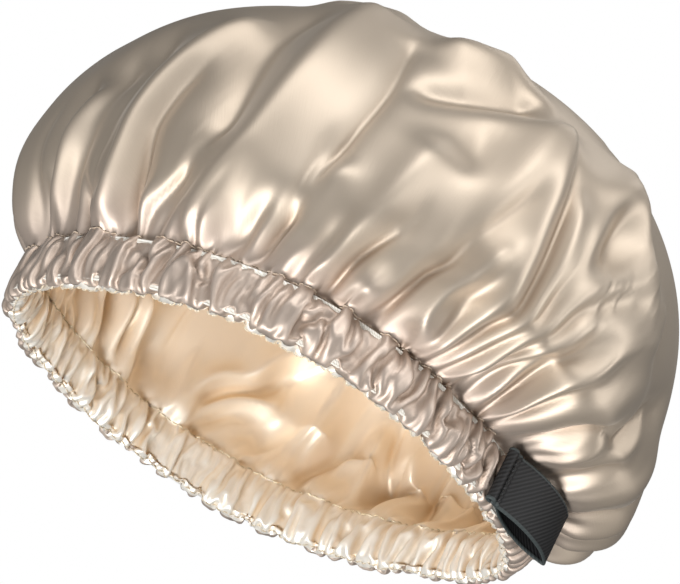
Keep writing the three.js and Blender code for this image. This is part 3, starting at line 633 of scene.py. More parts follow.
@dataclass
class ClothGrid:
    """Sheet of cloth as rows up the wall and columns round it, in mm.

    Attributes:
        base: Points of the wall that the sheet is held near.
        out: Way out of the wall at each point.
        points: Points of the cloth.
        low: Least height over the base.
        high: Most height over the base.
        drift: Most sideways shift from the base.
        most_step: Most columns that a fold may go aside from one row to the next when it is combed.
        bias: How stiff the cloth is across its threads, where 1 is its stiffness along them.
        bend_round: How stiffly it bends round the wall.
        bend_along: How stiffly it bends up the wall.
    """

    base: np.ndarray
    out: np.ndarray
    points: np.ndarray
    low: np.ndarray
    high: np.ndarray
    drift: float = 3.0
    most_step: float = 1.6
    bias: float = 0.35
    bend_round: float = 0.3
    bend_along: float = 0.16

    def links(self) -> list[tuple[np.ndarray, np.ndarray, float, str]]:
        """Pair the points that keep their distance, with a share for how stiff each pair is.

        Returns:
            Sets that share no point: first and second points, the share, and the way that the pair lies.
        """
        rows, columns = self.points.shape[:2]
        index = np.arange(rows * columns).reshape(rows, columns)
        found = []
        for parity in (0, 1):
            around = np.roll(index, -1, axis=1)
            found.append((index[:, parity::2], around[:, parity::2], 1.0, "around"))
            low, high = index[parity:-1:2], index[parity + 1 :: 2]
            found.append((low, high, 1.0, "along"))
            for side in (-1, 1):
                found.append((low, np.roll(high, side, axis=1), self.bias, "across"))
        skip = np.roll(index, -2, axis=1)
        quarter = np.arange(columns) % 4
        for chosen in (quarter < 2, quarter >= 2):
            found.append((index[:, chosen], skip[:, chosen], self.bend_round, "around"))
        quarter = np.arange(rows - 2) % 4
        for chosen in (quarter < 2, quarter >= 2):
            found.append((index[:-2][chosen], index[2:][chosen], self.bend_along, "along"))
        return [(a.ravel(), b.ravel(), share, way) for a, b, share, way in found]

    def relax(self, rounds: int, slack: np.ndarray, pinned: list[int], levelled: list[int]) -> None:
        """Let the sheet settle where its lengths are kept, with some cloth to spare.

        Args:
            rounds: Number of rounds.
            slack: Cloth to spare round the wall, as a share more, one per row.
            pinned: Rows that stay as they are.
            levelled: Rows that keep their height.
        """
        shape = self.points.shape
        flat = self.points.reshape(-1, 3).astype(np.float32)
        row_of = np.repeat(np.arange(shape[0]), shape[1])
        links = []
        for a, b, share, way in self.links():
            rest = np.linalg.norm(flat[a] - flat[b], axis=1)
            if way != "along":
                rest = rest * (1 + slack[row_of[a]] * (1.0 if way == "around" else 0.5))
            links.append((a, b, rest.astype(np.float32), np.float32(share / 2)))
        base, out = self.base.astype(np.float32), self.out.astype(np.float32)
        start = self.points.astype(np.float32)
        for _ in range(rounds):
            for a, b, rest, share in links:
                span = flat[b] - flat[a]
                length = np.sqrt((span * span).sum(1)) + np.float32(1e-6)
                move = span * ((1 - rest / length) * share)[:, None]
                flat[a] += move
                flat[b] -= move
            grid = flat.reshape(shape)
            gap = grid - base
            height = (gap * out).sum(-1)
            aside = gap - height[..., None] * out
            size = np.sqrt((aside * aside).sum(-1)) + np.float32(1e-6)
            aside *= np.minimum(1, self.drift / size)[..., None]
            grid[:] = base + aside + np.clip(height, self.low, self.high)[..., None] * out
            grid[..., 2] = np.maximum(grid[..., 2], 0)
            grid[levelled, :, 2] = start[levelled, :, 2]
            grid[pinned] = start[pinned]
        self.points = flat.reshape(shape).astype(float)

    def combed(self, rounds: int, aside: np.ndarray, share: np.ndarray) -> None:
        """Even out the cloth along its folds, so that they run on instead of breaking into dents.

        Args:
            rounds: Number of rounds.
            aside: How far the folds are drawn round at each row, in columns, for each column at the seam.
            share: How much each row is evened out.
        """
        count = self.points.shape[1]
        columns = np.arange(count)
        steps = []
        for here, after in zip(aside, aside[1:]):
            step = np.clip(after - here, -self.most_step, self.most_step)
            steps.append(np.interp(columns, columns + here, step, period=count))
        for _ in range(rounds):
            p = self.points.copy()
            for row in np.nonzero(share[1:-1])[0] + 1:
                mean = 0
                for other, way in ((p[row + 1], steps[row]), (p[row - 1], -steps[row - 1])):
                    place = columns + way
                    whole = np.floor(place).astype(int)
                    part = (place - whole)[:, None]
                    mean = mean + (other[whole % count] * (1 - part) + other[(whole + 1) % count] * part) / 2
                self.points[row] = p[row] + share[row] * (mean - p[row])

    def smoothed(self, rounds: int, share: float = 0.5) -> None:
        """Even out the points with their neighbours along and round, but for the first and last row.

        Args:
            rounds: Number of rounds.
            share: How much of the way to their mean the points go.
        """
        for _ in range(rounds):
            p = self.points
            mean = (np.roll(p, 1, axis=1) + np.roll(p, -1, axis=1)) / 2
            mean[1:-1] = (mean[1:-1] + (p[:-2] + p[2:]) / 2) / 2
            mean[0], mean[-1] = p[0], p[-1]
            self.points = p + share * (mean - p)


def mesh_object(name: str, points: np.ndarray, faces: list, smooth: bool = True) -> bpy.types.Object:
    """Make a mesh object from points in mm.

    Args:
        name: Name of the piece.
        points: Points, one per row.
        faces: Lists of point numbers.
        smooth: Whether it is shaded smooth.

    Returns:
        The new object, linked to the scene.
    """
    mesh = bpy.data.meshes.new(name)
    mesh.from_pydata((np.asarray(points) * MM).tolist(), [], faces)
    mesh.validate()
    mesh.polygons.foreach_set("use_smooth", [smooth] * len(mesh.polygons))
    mesh.update()
    made = bpy.data.objects.new(name, mesh)
    bpy.context.scene.collection.objects.link(made)
    return made


def lay_flat_uv(piece: bpy.types.Object, flat: np.ndarray) -> None:
    """Give each point its place on the cloth as it was cut, in metres.

    Args:
        piece: The piece.
        flat: Place in mm on the flat cloth, one per point.
    """
    layer = piece.data.uv_layers.new(name="cut")
    loops = np.empty(len(piece.data.loops), dtype=np.int64)
    piece.data.loops.foreach_get("vertex_index", loops)
    layer.data.foreach_set("uv", (flat[loops] * MM).ravel())


def lay_tubes(name: str, rings: np.ndarray) -> bpy.types.Object:
    """Make a piece of capped tubes or strips, each through rings of points.

    Args:
        name: Name of the piece.
        rings: Points in mm as tube, ring, point and x, y, z. Each ring goes round once.

    Returns:
        The new object.
    """
    count, each, sides = rings.shape[:3]
    faces = []
    for start in range(0, count * each * sides, each * sides):
        last = start + (each - 1) * sides
        for a in range(start, last, sides):
            for k in range(sides):
                m = (k + 1) % sides
                faces.append((a + k, a + m, a + sides + m, a + sides + k))
        faces.append(tuple(range(start + sides - 1, start - 1, -1)))
        faces.append(tuple(range(last, last + sides)))
    return mesh_object(name, rings.reshape(-1, 3), faces)


def ring_angles(sides: int) -> list[float]:
    """Return the angles of a thread's sides, in radians."""
    return [FULL_TURN * k / sides for k in range(sides)]


# One stitch of five rings: where they stand along it, how far they rise and how full they are
STITCH_SHARES = np.array([0.06, 0.2, 0.5, 0.8, 0.94])
STITCH_RISES = np.array([-0.2, 0.55, 1.0, 0.55, -0.2])
STITCH_SWELLS = np.array([0.55, 0.95, 1.0, 0.95, 0.55])


def stitches(name: str, line: np.ndarray, out: np.ndarray, length: float, radius: float) -> bpy.types.Object:
    """Make a row of separate stitches that dip into the cloth at each end.

    Args:
        name: Name of the piece.
        line: Closed line of points on the cloth, in mm.
        out: Way out of the cloth at each point.
        length: Length of a stitch.
        radius: Radius of the thread.

    Returns:
        The new object.
    """
    steps = np.linalg.norm(np.roll(line, -1, axis=0) - line, axis=1)
    places = np.concatenate([[0], np.cumsum(steps)])
    count = int(places[-1] / length)
    line, out = (np.concatenate([p, p[:1]]) for p in (line, out))
    rises = STITCH_RISES * radius * 1.6
    angles = ring_angles(6)
    rings = []
    for stitch in range(count):
        at = (stitch + STITCH_SHARES) * places[-1] / count
        centre, way = (np.stack([np.interp(at, places, p[:, k]) for k in range(3)], -1) for p in (line, out))
        way /= np.linalg.norm(way, axis=1, keepdims=True)
        centre = centre + way * rises[:, None]
        ahead = centre[-1] - centre[0]
        side = np.cross(ahead / max(np.linalg.norm(ahead), 1e-9), way)
        rings.append([
            [c + radius * swell * (math.cos(a) * w + math.sin(a) * s) for a in angles]
            for c, w, s, swell in zip(centre, way, side, STITCH_SWELLS)
        ])
    return lay_tubes(name, np.array(rings))


def hand_over(piece: bpy.types.Object, finish: bpy.types.Material, node: str, body: str) -> None:
    """Give a piece its material, hang it on its body and hide the CAD node that it replaces.

    Args:
        piece: The piece.
        finish: Its material.
        node: CAD node that it replaces.
        body: Body that it rides on.
    """
    piece.data.materials.append(finish)
    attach(piece, body)
    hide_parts(node)
    LOG.info("%s: %d points", piece.name, len(piece.data.vertices))


def add_node(
    tree: bpy.types.NodeTree, kind: str, settings: dict | None = None, links: dict | None = None
) -> bpy.types.Node:
    """Add a node with its settings and links.

    Args:
        tree: Node tree to add to.
        kind: Blender's name for the kind of node.
        settings: Values by attribute name, or by input name or number.
        links: Output sockets by input name or number.

    Returns:
        The new node.
    """
    node = tree.nodes.new(kind)
    for name, value in (settings or {}).items():
        if isinstance(name, str) and hasattr(node, name):
            setattr(node, name, value)
        else:
            node.inputs[name].default_value = value
    for name, socket in (links or {}).items():
        tree.links.new(socket, node.inputs[name])
    return node


def new_material(name: str) -> tuple[bpy.types.Material, bpy.types.NodeTree]:
    """Start a material.

    Args:
        name: Its name.

    Returns:
        The material and its empty node tree.
    """
    material = bpy.data.materials.new(name)
    material.use_nodes = True
    material.node_tree.nodes.clear()
    return material, material.node_tree


def set_surface(tree: bpy.types.NodeTree, settings: dict, links: dict) -> None:
    """End a material with a Principled shader.

    Args:
        tree: The material's node tree.
        settings: Values by input name.
        links: Output sockets by input name.
    """
    shader = add_node(tree, "ShaderNodeBsdfPrincipled", settings, links)
    add_node(tree, "ShaderNodeOutputMaterial", links={"Surface": shader.outputs[0]})


@dataclass(frozen=True)
class SatinFinish:
    """Warp faced satin: long floats lie side by side, so it shines in broad soft streaks.

    Attributes:
        name: Name of the material.
        colour: Colour of the yarn, as sRGB hex.
        shade: A little deeper tone that drifts over the cloth.
        edge: Painted tone of the gathered casing, a colour that stands in for how the light glances off its
            steeper floats there.
        valley: Painted shade between folds, a deeper tone painted where light has gone from cloth to cloth.
        painted_shade_reach_mm: Size of the folds that get that painted shade.
        painted_shade_sky: Shares of open sky at which that painted shade is full, and at which it is gone.
        painted_tone_start_mm: Distance from the middle of the cut at which that painted tone starts.
        painted_tone_full_mm: Distance at which it is full.
        roughness: Roughness of the sheen.
        metallic: Share of the light that the filament yarn throws back in its own colour.
        yarn_mm: Spacing of the floats. Real ones are 0.1 mm; they are drawn coarser so that they show.
        bump_mm: Height of the floats.
    """

    name: str
    colour: str
    shade: str
    # Painted tone of the casing, standing in for how the light falls there
    edge: str
    # Painted shade for the creases between folds
    valley: str
    painted_shade_reach_mm: float = 5.0
    painted_shade_sky: tuple[float, float] = (0.25, 0.85)
    painted_tone_start_mm: float = 172.0
    painted_tone_full_mm: float = 188.0
    roughness: float = 0.55
    metallic: float = 0.65
    yarn_mm: float = 0.5
    bump_mm: float = 0.07

    def build(self) -> bpy.types.Material:
        """Build the satin's nodes.

        Returns:
            The material.
        """
        material, tree = new_material(self.name)
        cut = add_node(tree, "ShaderNodeUVMap", {"uv_map": "cut"}).outputs["UV"]
        drift = add_node(tree, "ShaderNodeTexNoise", {"Scale": 9.0, "Detail": 2.0}, {"Vector": cut})
        yarn = {"Color1": linear(self.colour), "Color2": linear(self.shade)}
        tone = add_node(tree, "ShaderNodeMixRGB", yarn, {"Fac": drift.outputs["Fac"]})
        # Painted tone: towards the cut's edge the colour turns to the casing's tone, which stands in for how
        # the light falls on the gathered casing
        away = add_node(tree, "ShaderNodeVectorMath", {"operation": "LENGTH"}, {0: cut})
        reach = {"From Min": self.painted_tone_start_mm * MM, "From Max": self.painted_tone_full_mm * MM}
        outward = add_node(tree, "ShaderNodeMapRange", reach, {"Value": away.outputs["Value"]})
        edged = {"Fac": outward.outputs[0], "Color1": tone.outputs[0]}
        tone = add_node(tree, "ShaderNodeMixRGB", {"Color2": linear(self.edge)}, edged)
        # Painted shade: the colour turns to the valley tone where ambient occlusion finds cloth close by, in
        # the creases between folds
        near = {"only_local": True, "samples": 8, "Distance": self.painted_shade_reach_mm * MM}
        depth = add_node(tree, "ShaderNodeAmbientOcclusion", near)
        valleys = dict(zip(("From Min", "From Max"), self.painted_shade_sky))
        unshaded_share = add_node(tree, "ShaderNodeMapRange", valleys, {"Value": depth.outputs["AO"]})
        folded = {"Fac": unshaded_share.outputs[0], "Color2": tone.outputs[0]}
        tone = add_node(tree, "ShaderNodeMixRGB", {"Color1": linear(self.valley)}, folded)
        # The floats run about 17 times as long as they are wide
        along, across = 0.06 / (self.yarn_mm * MM), 1 / (self.yarn_mm * MM)
        slub = add_node(tree, "ShaderNodeMapping", {"Scale": (across, along, 1)}, {"Vector": cut})
        plain = {"Scale": 1.0, "Detail": 2.0}
        floats = add_node(tree, "ShaderNodeTexNoise", plain, {"Vector": slub.outputs[0]})
        relief = {"Strength": 0.5, "Distance": self.bump_mm * MM}
        bump = add_node(tree, "ShaderNodeBump", relief, {"Height": floats.outputs["Fac"]})
        tangent = add_node(tree, "ShaderNodeTangent", {"direction_type": "UV_MAP", "uv_map": "cut"})
        set_surface(
            tree,
            {
                "Roughness": self.roughness,
                "Metallic": self.metallic,
                "Specular IOR Level": 0.5,
                "Anisotropic": 0.6,
                "Sheen Weight": 0.12,
                "Sheen Roughness": 0.4,
                "Sheen Tint": linear("fffaf2"),
            },
            {"Base Color": tone.outputs[0], "Normal": bump.outputs[0], "Tangent": tangent.outputs[0]},
        )
        return material


# Distance between the Wave texture's bands at a scale of 1, in metres
WAVE_PITCH = 0.314


@dataclass(frozen=True)
class YarnFinish:
    """Spun or woven yarn: matt, with a fine twist that breaks up the light.

    Attributes:
        name: Name of the material.
        colour: Colour as sRGB hex.
        shade: Painted shade between the strands, in the grooves of the twist.
        pitch_mm: Spacing of the strands.
        roughness: Roughness of the yarn.
    """

    name: str
    colour: str
    shade: str
    pitch_mm: float
    roughness: float = 0.8

    def build(self) -> bpy.types.Material:
        """Build the yarn's nodes.

        Returns:
            The material.
        """
        material, tree = new_material(self.name)
        place = add_node(tree, "ShaderNodeTexCoord")
        strands = {"Scale": WAVE_PITCH / (self.pitch_mm * MM), "Distortion": 1.5}
        diagonal = strands | {"bands_direction": "DIAGONAL"}
        twist = add_node(tree, "ShaderNodeTexWave", diagonal, {"Vector": place.outputs["Object"]})
        # Painted shade: the colour darkens between the strands, where the twist's grooves lie
        tones = {"Color1": linear(self.shade), "Color2": linear(self.colour)}
        tone = add_node(tree, "ShaderNodeMixRGB", tones, {"Fac": twist.outputs["Fac"]})
        relief = {"Strength": 0.5, "Distance": self.pitch_mm * MM * 0.3}
        bump = add_node(tree, "ShaderNodeBump", relief, {"Height": twist.outputs["Fac"]})
        settings = {"Roughness": self.roughness, "Specular IOR Level": 0.4, "Sheen Weight": 0.2}
        set_surface(tree, settings, {"Base Color": tone.outputs[0], "Normal": bump.outputs[0]})
        return material


@dataclass(frozen=True)
class TwillTapeFinish:
    """Black tape with fine slanting ribs and a smooth, lighter edge where the weft turns back."""

    name: str
    colour: str = "2b2b2c"
    # Painted shade for the grooves between the ribs
    groove: str = "0b0b0c"
    edge: str = "3c4343"
    rib_mm: float = 0.8
    edge_mm: float = 0.9
    width_mm: float = 18.0
    bump_mm: float = 0.12

    def build(self) -> bpy.types.Material:
        """Build the tape's nodes.

        Returns:
            The material.
        """
        material, tree = new_material(self.name)
        cut = add_node(tree, "ShaderNodeUVMap", {"uv_map": "cut"}).outputs["UV"]
        slant = {"Scale": WAVE_PITCH / (self.rib_mm * MM), "Distortion": 0.4, "Detail": 1.0}
        ribs = add_node(tree, "ShaderNodeTexWave", slant | {"bands_direction": "DIAGONAL"}, {"Vector": cut})
        # Painted shade: the ribs' grooves take the darker groove colour
        tones = {"Color1": linear(self.groove), "Color2": linear(self.colour)}
        tone = add_node(tree, "ShaderNodeMixRGB", tones, {"Fac": ribs.outputs["Fac"]})
        split = add_node(tree, "ShaderNodeSeparateXYZ", links={"Vector": cut})
        half = self.width_mm / 2
        from_middle = {"operation": "SUBTRACT", 1: half * MM}
        middle = add_node(tree, "ShaderNodeMath", from_middle, {0: split.outputs["Y"]})
        away = add_node(tree, "ShaderNodeMath", {"operation": "ABSOLUTE"}, {0: middle.outputs[0]})
        outer_strip = {"operation": "GREATER_THAN", 1: (half - self.edge_mm) * MM}
        on_edge = add_node(tree, "ShaderNodeMath", outer_strip, {0: away.outputs[0]})
        edging = {"Fac": on_edge.outputs[0], "Color1": tone.outputs[0]}
        edged = add_node(tree, "ShaderNodeMixRGB", {"Color2": linear(self.edge)}, edging)
        relief = {"Strength": 0.6, "Distance": self.bump_mm * MM}
        bump = add_node(tree, "ShaderNodeBump", relief, {"Height": ribs.outputs["Fac"]})
        settings = {"Roughness": 0.62, "Specular IOR Level": 0.45}
        set_surface(tree, settings, {"Base Color": edged.outputs[0], "Normal": bump.outputs[0]})
        return material


# Polyester satin, woven warp faced and pressed: broad soft streaks lie along the folds, with painted brown
# shade in the creases and a painted greyer, pinker tone on the casing
CHAMPAGNE_SATIN = SatinFinish("champagne satin, warp faced weave", "cdc0b0", "c3b3a0", "c9b9ac", "7c5f45")
# The same weave in cream: paler and glossier to the eye, with painted warm yellow shade in the creases and a
# painted whiter tone on the casing
IVORY_SATIN = SatinFinish(
    "ivory satin, warp faced weave", "faeedc", "f6e3ca", "fdf8ee", "dfbf90", roughness=0.44, metallic=0.4
)
# Polyester yarn knitted over rubber cords: dull white with fine grey lines of painted shade between the
# strands
WOVEN_ELASTIC = YarnFinish("woven elastic, knitted over rubber cords", "f1eee6", "d9d4c8", 0.55, 0.85)
# Polyester yarn, spun and plied: a soft dull thread whose twist shows as fine slanting lines, in relief and
# in painted shade
ELASTIC_THREAD = YarnFinish("spun polyester thread, pale", "e9e4d8", "cfc8b6", 0.35, 0.7)
NEEDLE_THREAD = YarnFinish("spun polyester thread for seam needle thread", "d0c0ad", "ae9a84", 0.3, 0.6)
BOBBIN_THREAD = YarnFinish("spun polyester thread for seam bobbin thread", "f1e7d2", "d9cba9", 0.3, 0.6)
RIM_THREAD = YarnFinish("spun polyester thread for rim seam thread", "e6dac4", "c6b89e", 0.3, 0.6)
TACK_THREAD = YarnFinish("spun polyester thread, black", "1b1b1c", "060607", 0.3, 0.6)
# Polyester tape, woven in twill: matt black with fine slanting ribs, painted shade in their grooves, and a
# smoother, greyer selvedge
TWILL_TAPE = TwillTapeFinish("black twill tape, woven with slanting ribs")


def crown_levels(spacing: float) -> np.ndarray:
    """Space rows evenly from the seam to just short of the top.

    Args:
        spacing: Distance between two rows, in mm.

    Returns:
        The rows' levels.
    """
    fine = np.linspace(1, 3, 2001)
    arcs = []
    for turn in np.radians((0, 90, 180, 270)):
        steps = np.linalg.norm(np.diff(SHAPE.point(turn, fine), axis=0), axis=1)
        arcs.append(np.concatenate([[0], np.cumsum(steps)]))
    arc = np.mean(arcs, axis=0)
    count = int(arc[-1] / spacing)
    return np.interp(np.linspace(0, arc[-1], count + 1)[:-1], arc, fine)


def lowest_near(heights: np.ndarray, reach: int) -> np.ndarray:
    """Look for the least height near each point.

    Args:
        heights: Heights, one per row and column.
        reach: Rows and columns that count as near.

    Returns:
        The least heights.
    """
    least = heights.copy()
    for _ in range(reach):
        wide = np.minimum(np.minimum(np.roll(least, 1, axis=1), np.roll(least, -1, axis=1)), least)
        tall = wide.copy()
        tall[1:] = np.minimum(tall[1:], wide[:-1])
        tall[:-1] = np.minimum(tall[:-1], wide[1:])
        least = tall
    return least


@dataclass(frozen=True)
class Spare:
    """Cloth to spare round the wall, as a share of its length.

    Attributes:
        casing: Share under the seam.
        crown: Share all over the crown.
        seam: Share more just above the seam.
        reach: Distance in mm over which that share falls off.
        fade: Distance in mm over which all of it falls off.
    """

    casing: float
    crown: float
    seam: float
    reach: float
    fade: float

    def shares(self, up: np.ndarray) -> np.ndarray:
        """Return the share at each row.

        Args:
            up: Each row's distance up the wall, in mm.

        Returns:
            Shares of cloth to spare.
        """
        above = up - SHAPE.seam_height
        found = np.where(above < 0, self.casing, self.crown + self.seam * np.exp(-above / self.reach))
        found[above > 0] *= np.exp(-above[above > 0] / self.fade)
        return found


@dataclass
class SatinLayer:
    """One round cut of satin, gathered into the seam and the rim.

    Attributes:
        node: CAD node that it replaces. The piece has the same name with "_piece" after it.
        slot: The record's material slot; not used.
        finish: Its finish.
        columns: Points in each row round the wall.
        crown_spacing: Spacing of the crown's rows in mm.
        pole_spacing: Least spacing of the columns in mm; closer ones are left out in pairs.
        seed: Start of its random draws.
        rounds: Rounds that the cloth takes to settle.
        comb_rounds: Rounds of evening it out along its folds.
        rim_lift: Share of a groove's depth by which the rim's edge rises there.
        gathers: Grooves that the elastic draws in, large and small.
        groove_limit: Deepest that the grooves go where they meet, in mm.
        fold_strength: How much deeper the folds are laid than their table says, before the cloth settles.
        least: Least height off the wall, in mm.
        spare: Cloth to spare.
    """

    node: str
    slot: str
    finish: SatinFinish
    columns: int = 800
    crown_spacing: float = 1.7
    pole_spacing: float = 0.55
    seed: int = 11
    rounds: int = 140
    quick_rounds: int = 8
    comb_rounds: int = 7
    rim_lift: float = 0.45
    gathers: tuple[Gathers, ...] = ()
    groove_limit: float = 5.4
    fold_strength: float = 1.0
    least: float = -1.0
    spare: Spare = Spare(0.26, 0.01, 0.14, 5.0, 80.0)
    turns: np.ndarray = field(init=False)
    level: np.ndarray = field(init=False)
    inset: np.ndarray = field(init=False)
    height: np.ndarray = field(init=False)
    low_rows: int = field(init=False)
    grid: ClothGrid = field(init=False)
    piece: bpy.types.Object = field(init=False)

    def rim_rows(self) -> list[tuple[float, float]]:
        """Return inset and height of each row that lies under the rim."""
        raise NotImplementedError

    def casing_rows(self) -> list[tuple[float, float]]:
        """Return inset and height of each row up the casing, without the seam."""
        raise NotImplementedError

    def set_rows(self) -> None:
        """Work out the rows' levels, insets and heights."""
        self.turns = np.arange(self.columns) / self.columns * FULL_TURN
        low = self.rim_rows() + self.casing_rows()
        crown = crown_levels(self.crown_spacing)
        inset, height = np.array(low).T
        self.level = np.concatenate([np.clip(height / SHAPE.seam_height, 0, 1), crown])
        self.inset = np.concatenate([inset, np.zeros(len(crown))])
        self.height = np.concatenate([height, SHAPE.point(0, crown)[:, 2]])
        self.low_rows = len(low)

    def wall(self) -> tuple[np.ndarray, np.ndarray]:
        """Place the smooth wall's rows.

        Returns:
            Its points, and the way out at each.
        """
        turn, level = self.turns[None, :], self.level[:, None]
        flat_way = SHAPE.outward(turn, level, kept_level=True)
        steep_way = SHAPE.outward(turn, np.minimum(level, 2.99))
        share = smooth_step(level, start=1, over=0.3)[..., None]
        way = flat_way * (1 - share) + steep_way * share
        way /= np.linalg.norm(way, axis=-1, keepdims=True)
        points = SHAPE.point(turn, level) - way * self.inset[:, None, None]
        low = np.arange(len(self.level)) < self.low_rows
        points[low, :, 2] = self.height[low, None]
        return points, way

    def up_wall(self) -> np.ndarray:
        """Measure how far up the wall each row lies.

        Returns:
            Distances in mm from the rim's edge, zero for the rows under the rim.
        """
        rim = len(self.rim_rows())
        up = self.height.copy()
        up[:rim] = 0
        crown = self.low_rows
        up[crown:] = SHAPE.seam_height + np.arange(len(up) - crown) * self.crown_spacing
        return up

    def settle(self, folds: list[Fold], pinned: list[int], levelled: list[int]) -> None:
        """Let the cloth settle, then even it out, above all along its folds over the seam.

        Args:
            folds: The larger folds.
            pinned: Rows that stay as they are.
            levelled: Rows that keep their height.
        """
        rounds = self.rounds
        self.grid.relax(rounds, self.spare.shares(self.up_wall()), pinned, levelled)
        aside = drawn_aside(folds, self.level, np.degrees(self.turns)) / 360 * self.columns
        comb_end, comb_share, smooth_share = 2.5, 0.5, 0.35
        aside[self.level > comb_end] = aside[self.level <= comb_end][-1]
        share = comb_share * (1 - smooth_step(self.level, start=2.1, over=0.4)) * (self.level > 1)
        self.grid.combed(self.comb_rounds, aside, share)
        self.grid.smoothed(1, smooth_share)

    def rim_shares(self, first: float, last: float) -> np.ndarray:
        """Work out how much of the bulges and grooves each row has, which is all of them above the hem.

        Args:
            first: Share at the cut edge.
            last: Share at the rim's outside.

        Returns:
            Shares, one per row.
        """
        rim = len(self.rim_rows())
        return np.concatenate([np.linspace(first, last, rim), np.ones(len(self.level) - rim)])

    def grooves(self, up: np.ndarray, folds: list[Fold]) -> np.ndarray:
        """Add up the gathers.

        Args:
            up: Each row's distance up the wall.
            folds: The larger folds, which the gathers follow.

        Returns:
            Heights of zero or less, one per row and column.
        """
        around = self.turns / FULL_TURN * RIM_LENGTH
        found = sum(g.heights(around, up, RIM_LENGTH, self.level, folds) for g in self.gathers)
        return np.maximum(found, -self.groove_limit)

    def along_cloth(self) -> np.ndarray:
        """Measure how far along the cloth each row lies.

        Returns:
            Distances in mm from the cut edge.
        """
        middle = self.grid.points.mean(1)
        spread = np.linalg.norm(self.grid.points - middle[:, None], axis=-1).mean(1)
        run = np.hypot(np.diff(spread), np.diff(middle[:, 2]))
        return np.concatenate([[0], np.cumsum(run)])

    def make_mesh(self, inside: bool) -> None:
        """Make the piece from its grid, with fewer columns where they crowd at the top.

        Args:
            inside: Whether its faces look into the bonnet.
        """
        points = self.grid.points
        rows = len(points)
        steps, step = [], 1
        for row in points:
            gap = np.linalg.norm(row - np.roll(row, -1, axis=0), axis=1).mean()
            if gap * step < self.pole_spacing and self.columns % (2 * step) == 0:
                step *= 2
            steps.append(step)
        number = -np.ones((rows, self.columns), dtype=np.int64)
        total = 0
        for row, step in enumerate(steps):
            count = self.columns // step
            number[row, ::step] = np.arange(total, total + count)
            total += count
        faces = []
        for row in range(rows - 1):
            low, high = steps[row], steps[row + 1]
            for column in range(0, self.columns, high):
                after = (column + high) % self.columns
                a, b = number[row, column], number[row, after]
                c, d = number[row + 1, after], number[row + 1, column]
                if high == low:
                    faces.append((a, b, c, d))
                else:
                    middle = number[row, column + low]
                    faces += [(a, middle, d), (middle, c, d), (middle, b, c)]
        pole = total
        last = steps[-1]
        for column in range(0, self.columns, last):
            faces.append((number[-1, column], number[-1, (column + last) % self.columns], pole))
        if inside:
            faces = [tuple(reversed(face)) for face in faces]
        used = number >= 0
        top = points[-1].mean(0)
        self.piece = mesh_object(f"{self.node}_piece", np.concatenate([points[used], top[None]]), faces)
        along = self.along_cloth()
        radius = along[-1] + np.linalg.norm(points[-1] - top, axis=1).mean()
        out = radius - along
        flat = np.stack([out[:, None] * np.cos(self.turns), out[:, None] * np.sin(self.turns)], -1)
        lay_flat_uv(self.piece, np.concatenate([flat[used], np.zeros((1, 2))]))
        hand_over(self.piece, self.finish.build(), self.node, "bonnet")
        LOG.info("%s: cut %.0f mm across", self.piece.name, 2 * radius)

    def line_at(self, low_row: int, share: float, aside: float) -> tuple[np.ndarray, np.ndarray]:
        """Lay a closed line on the cloth between two rows.

        Args:
            low_row: The lower of the two rows.
            share: Place between them, from 0 to 1.
            aside: Shift along the way out, in mm.

        Returns:
            The line's points, and the way out of the cloth at each.
        """
        p = self.grid.points
        line = p[low_row] * (1 - share) + p[low_row + 1] * share
        along = np.roll(line, -1, axis=0) - np.roll(line, 1, axis=0)
        up = p[low_row + 1] - p[low_row]
        way = np.cross(along, up)
        way /= np.maximum(np.linalg.norm(way, axis=1, keepdims=True), 1e-9)
        return line + way * aside, way


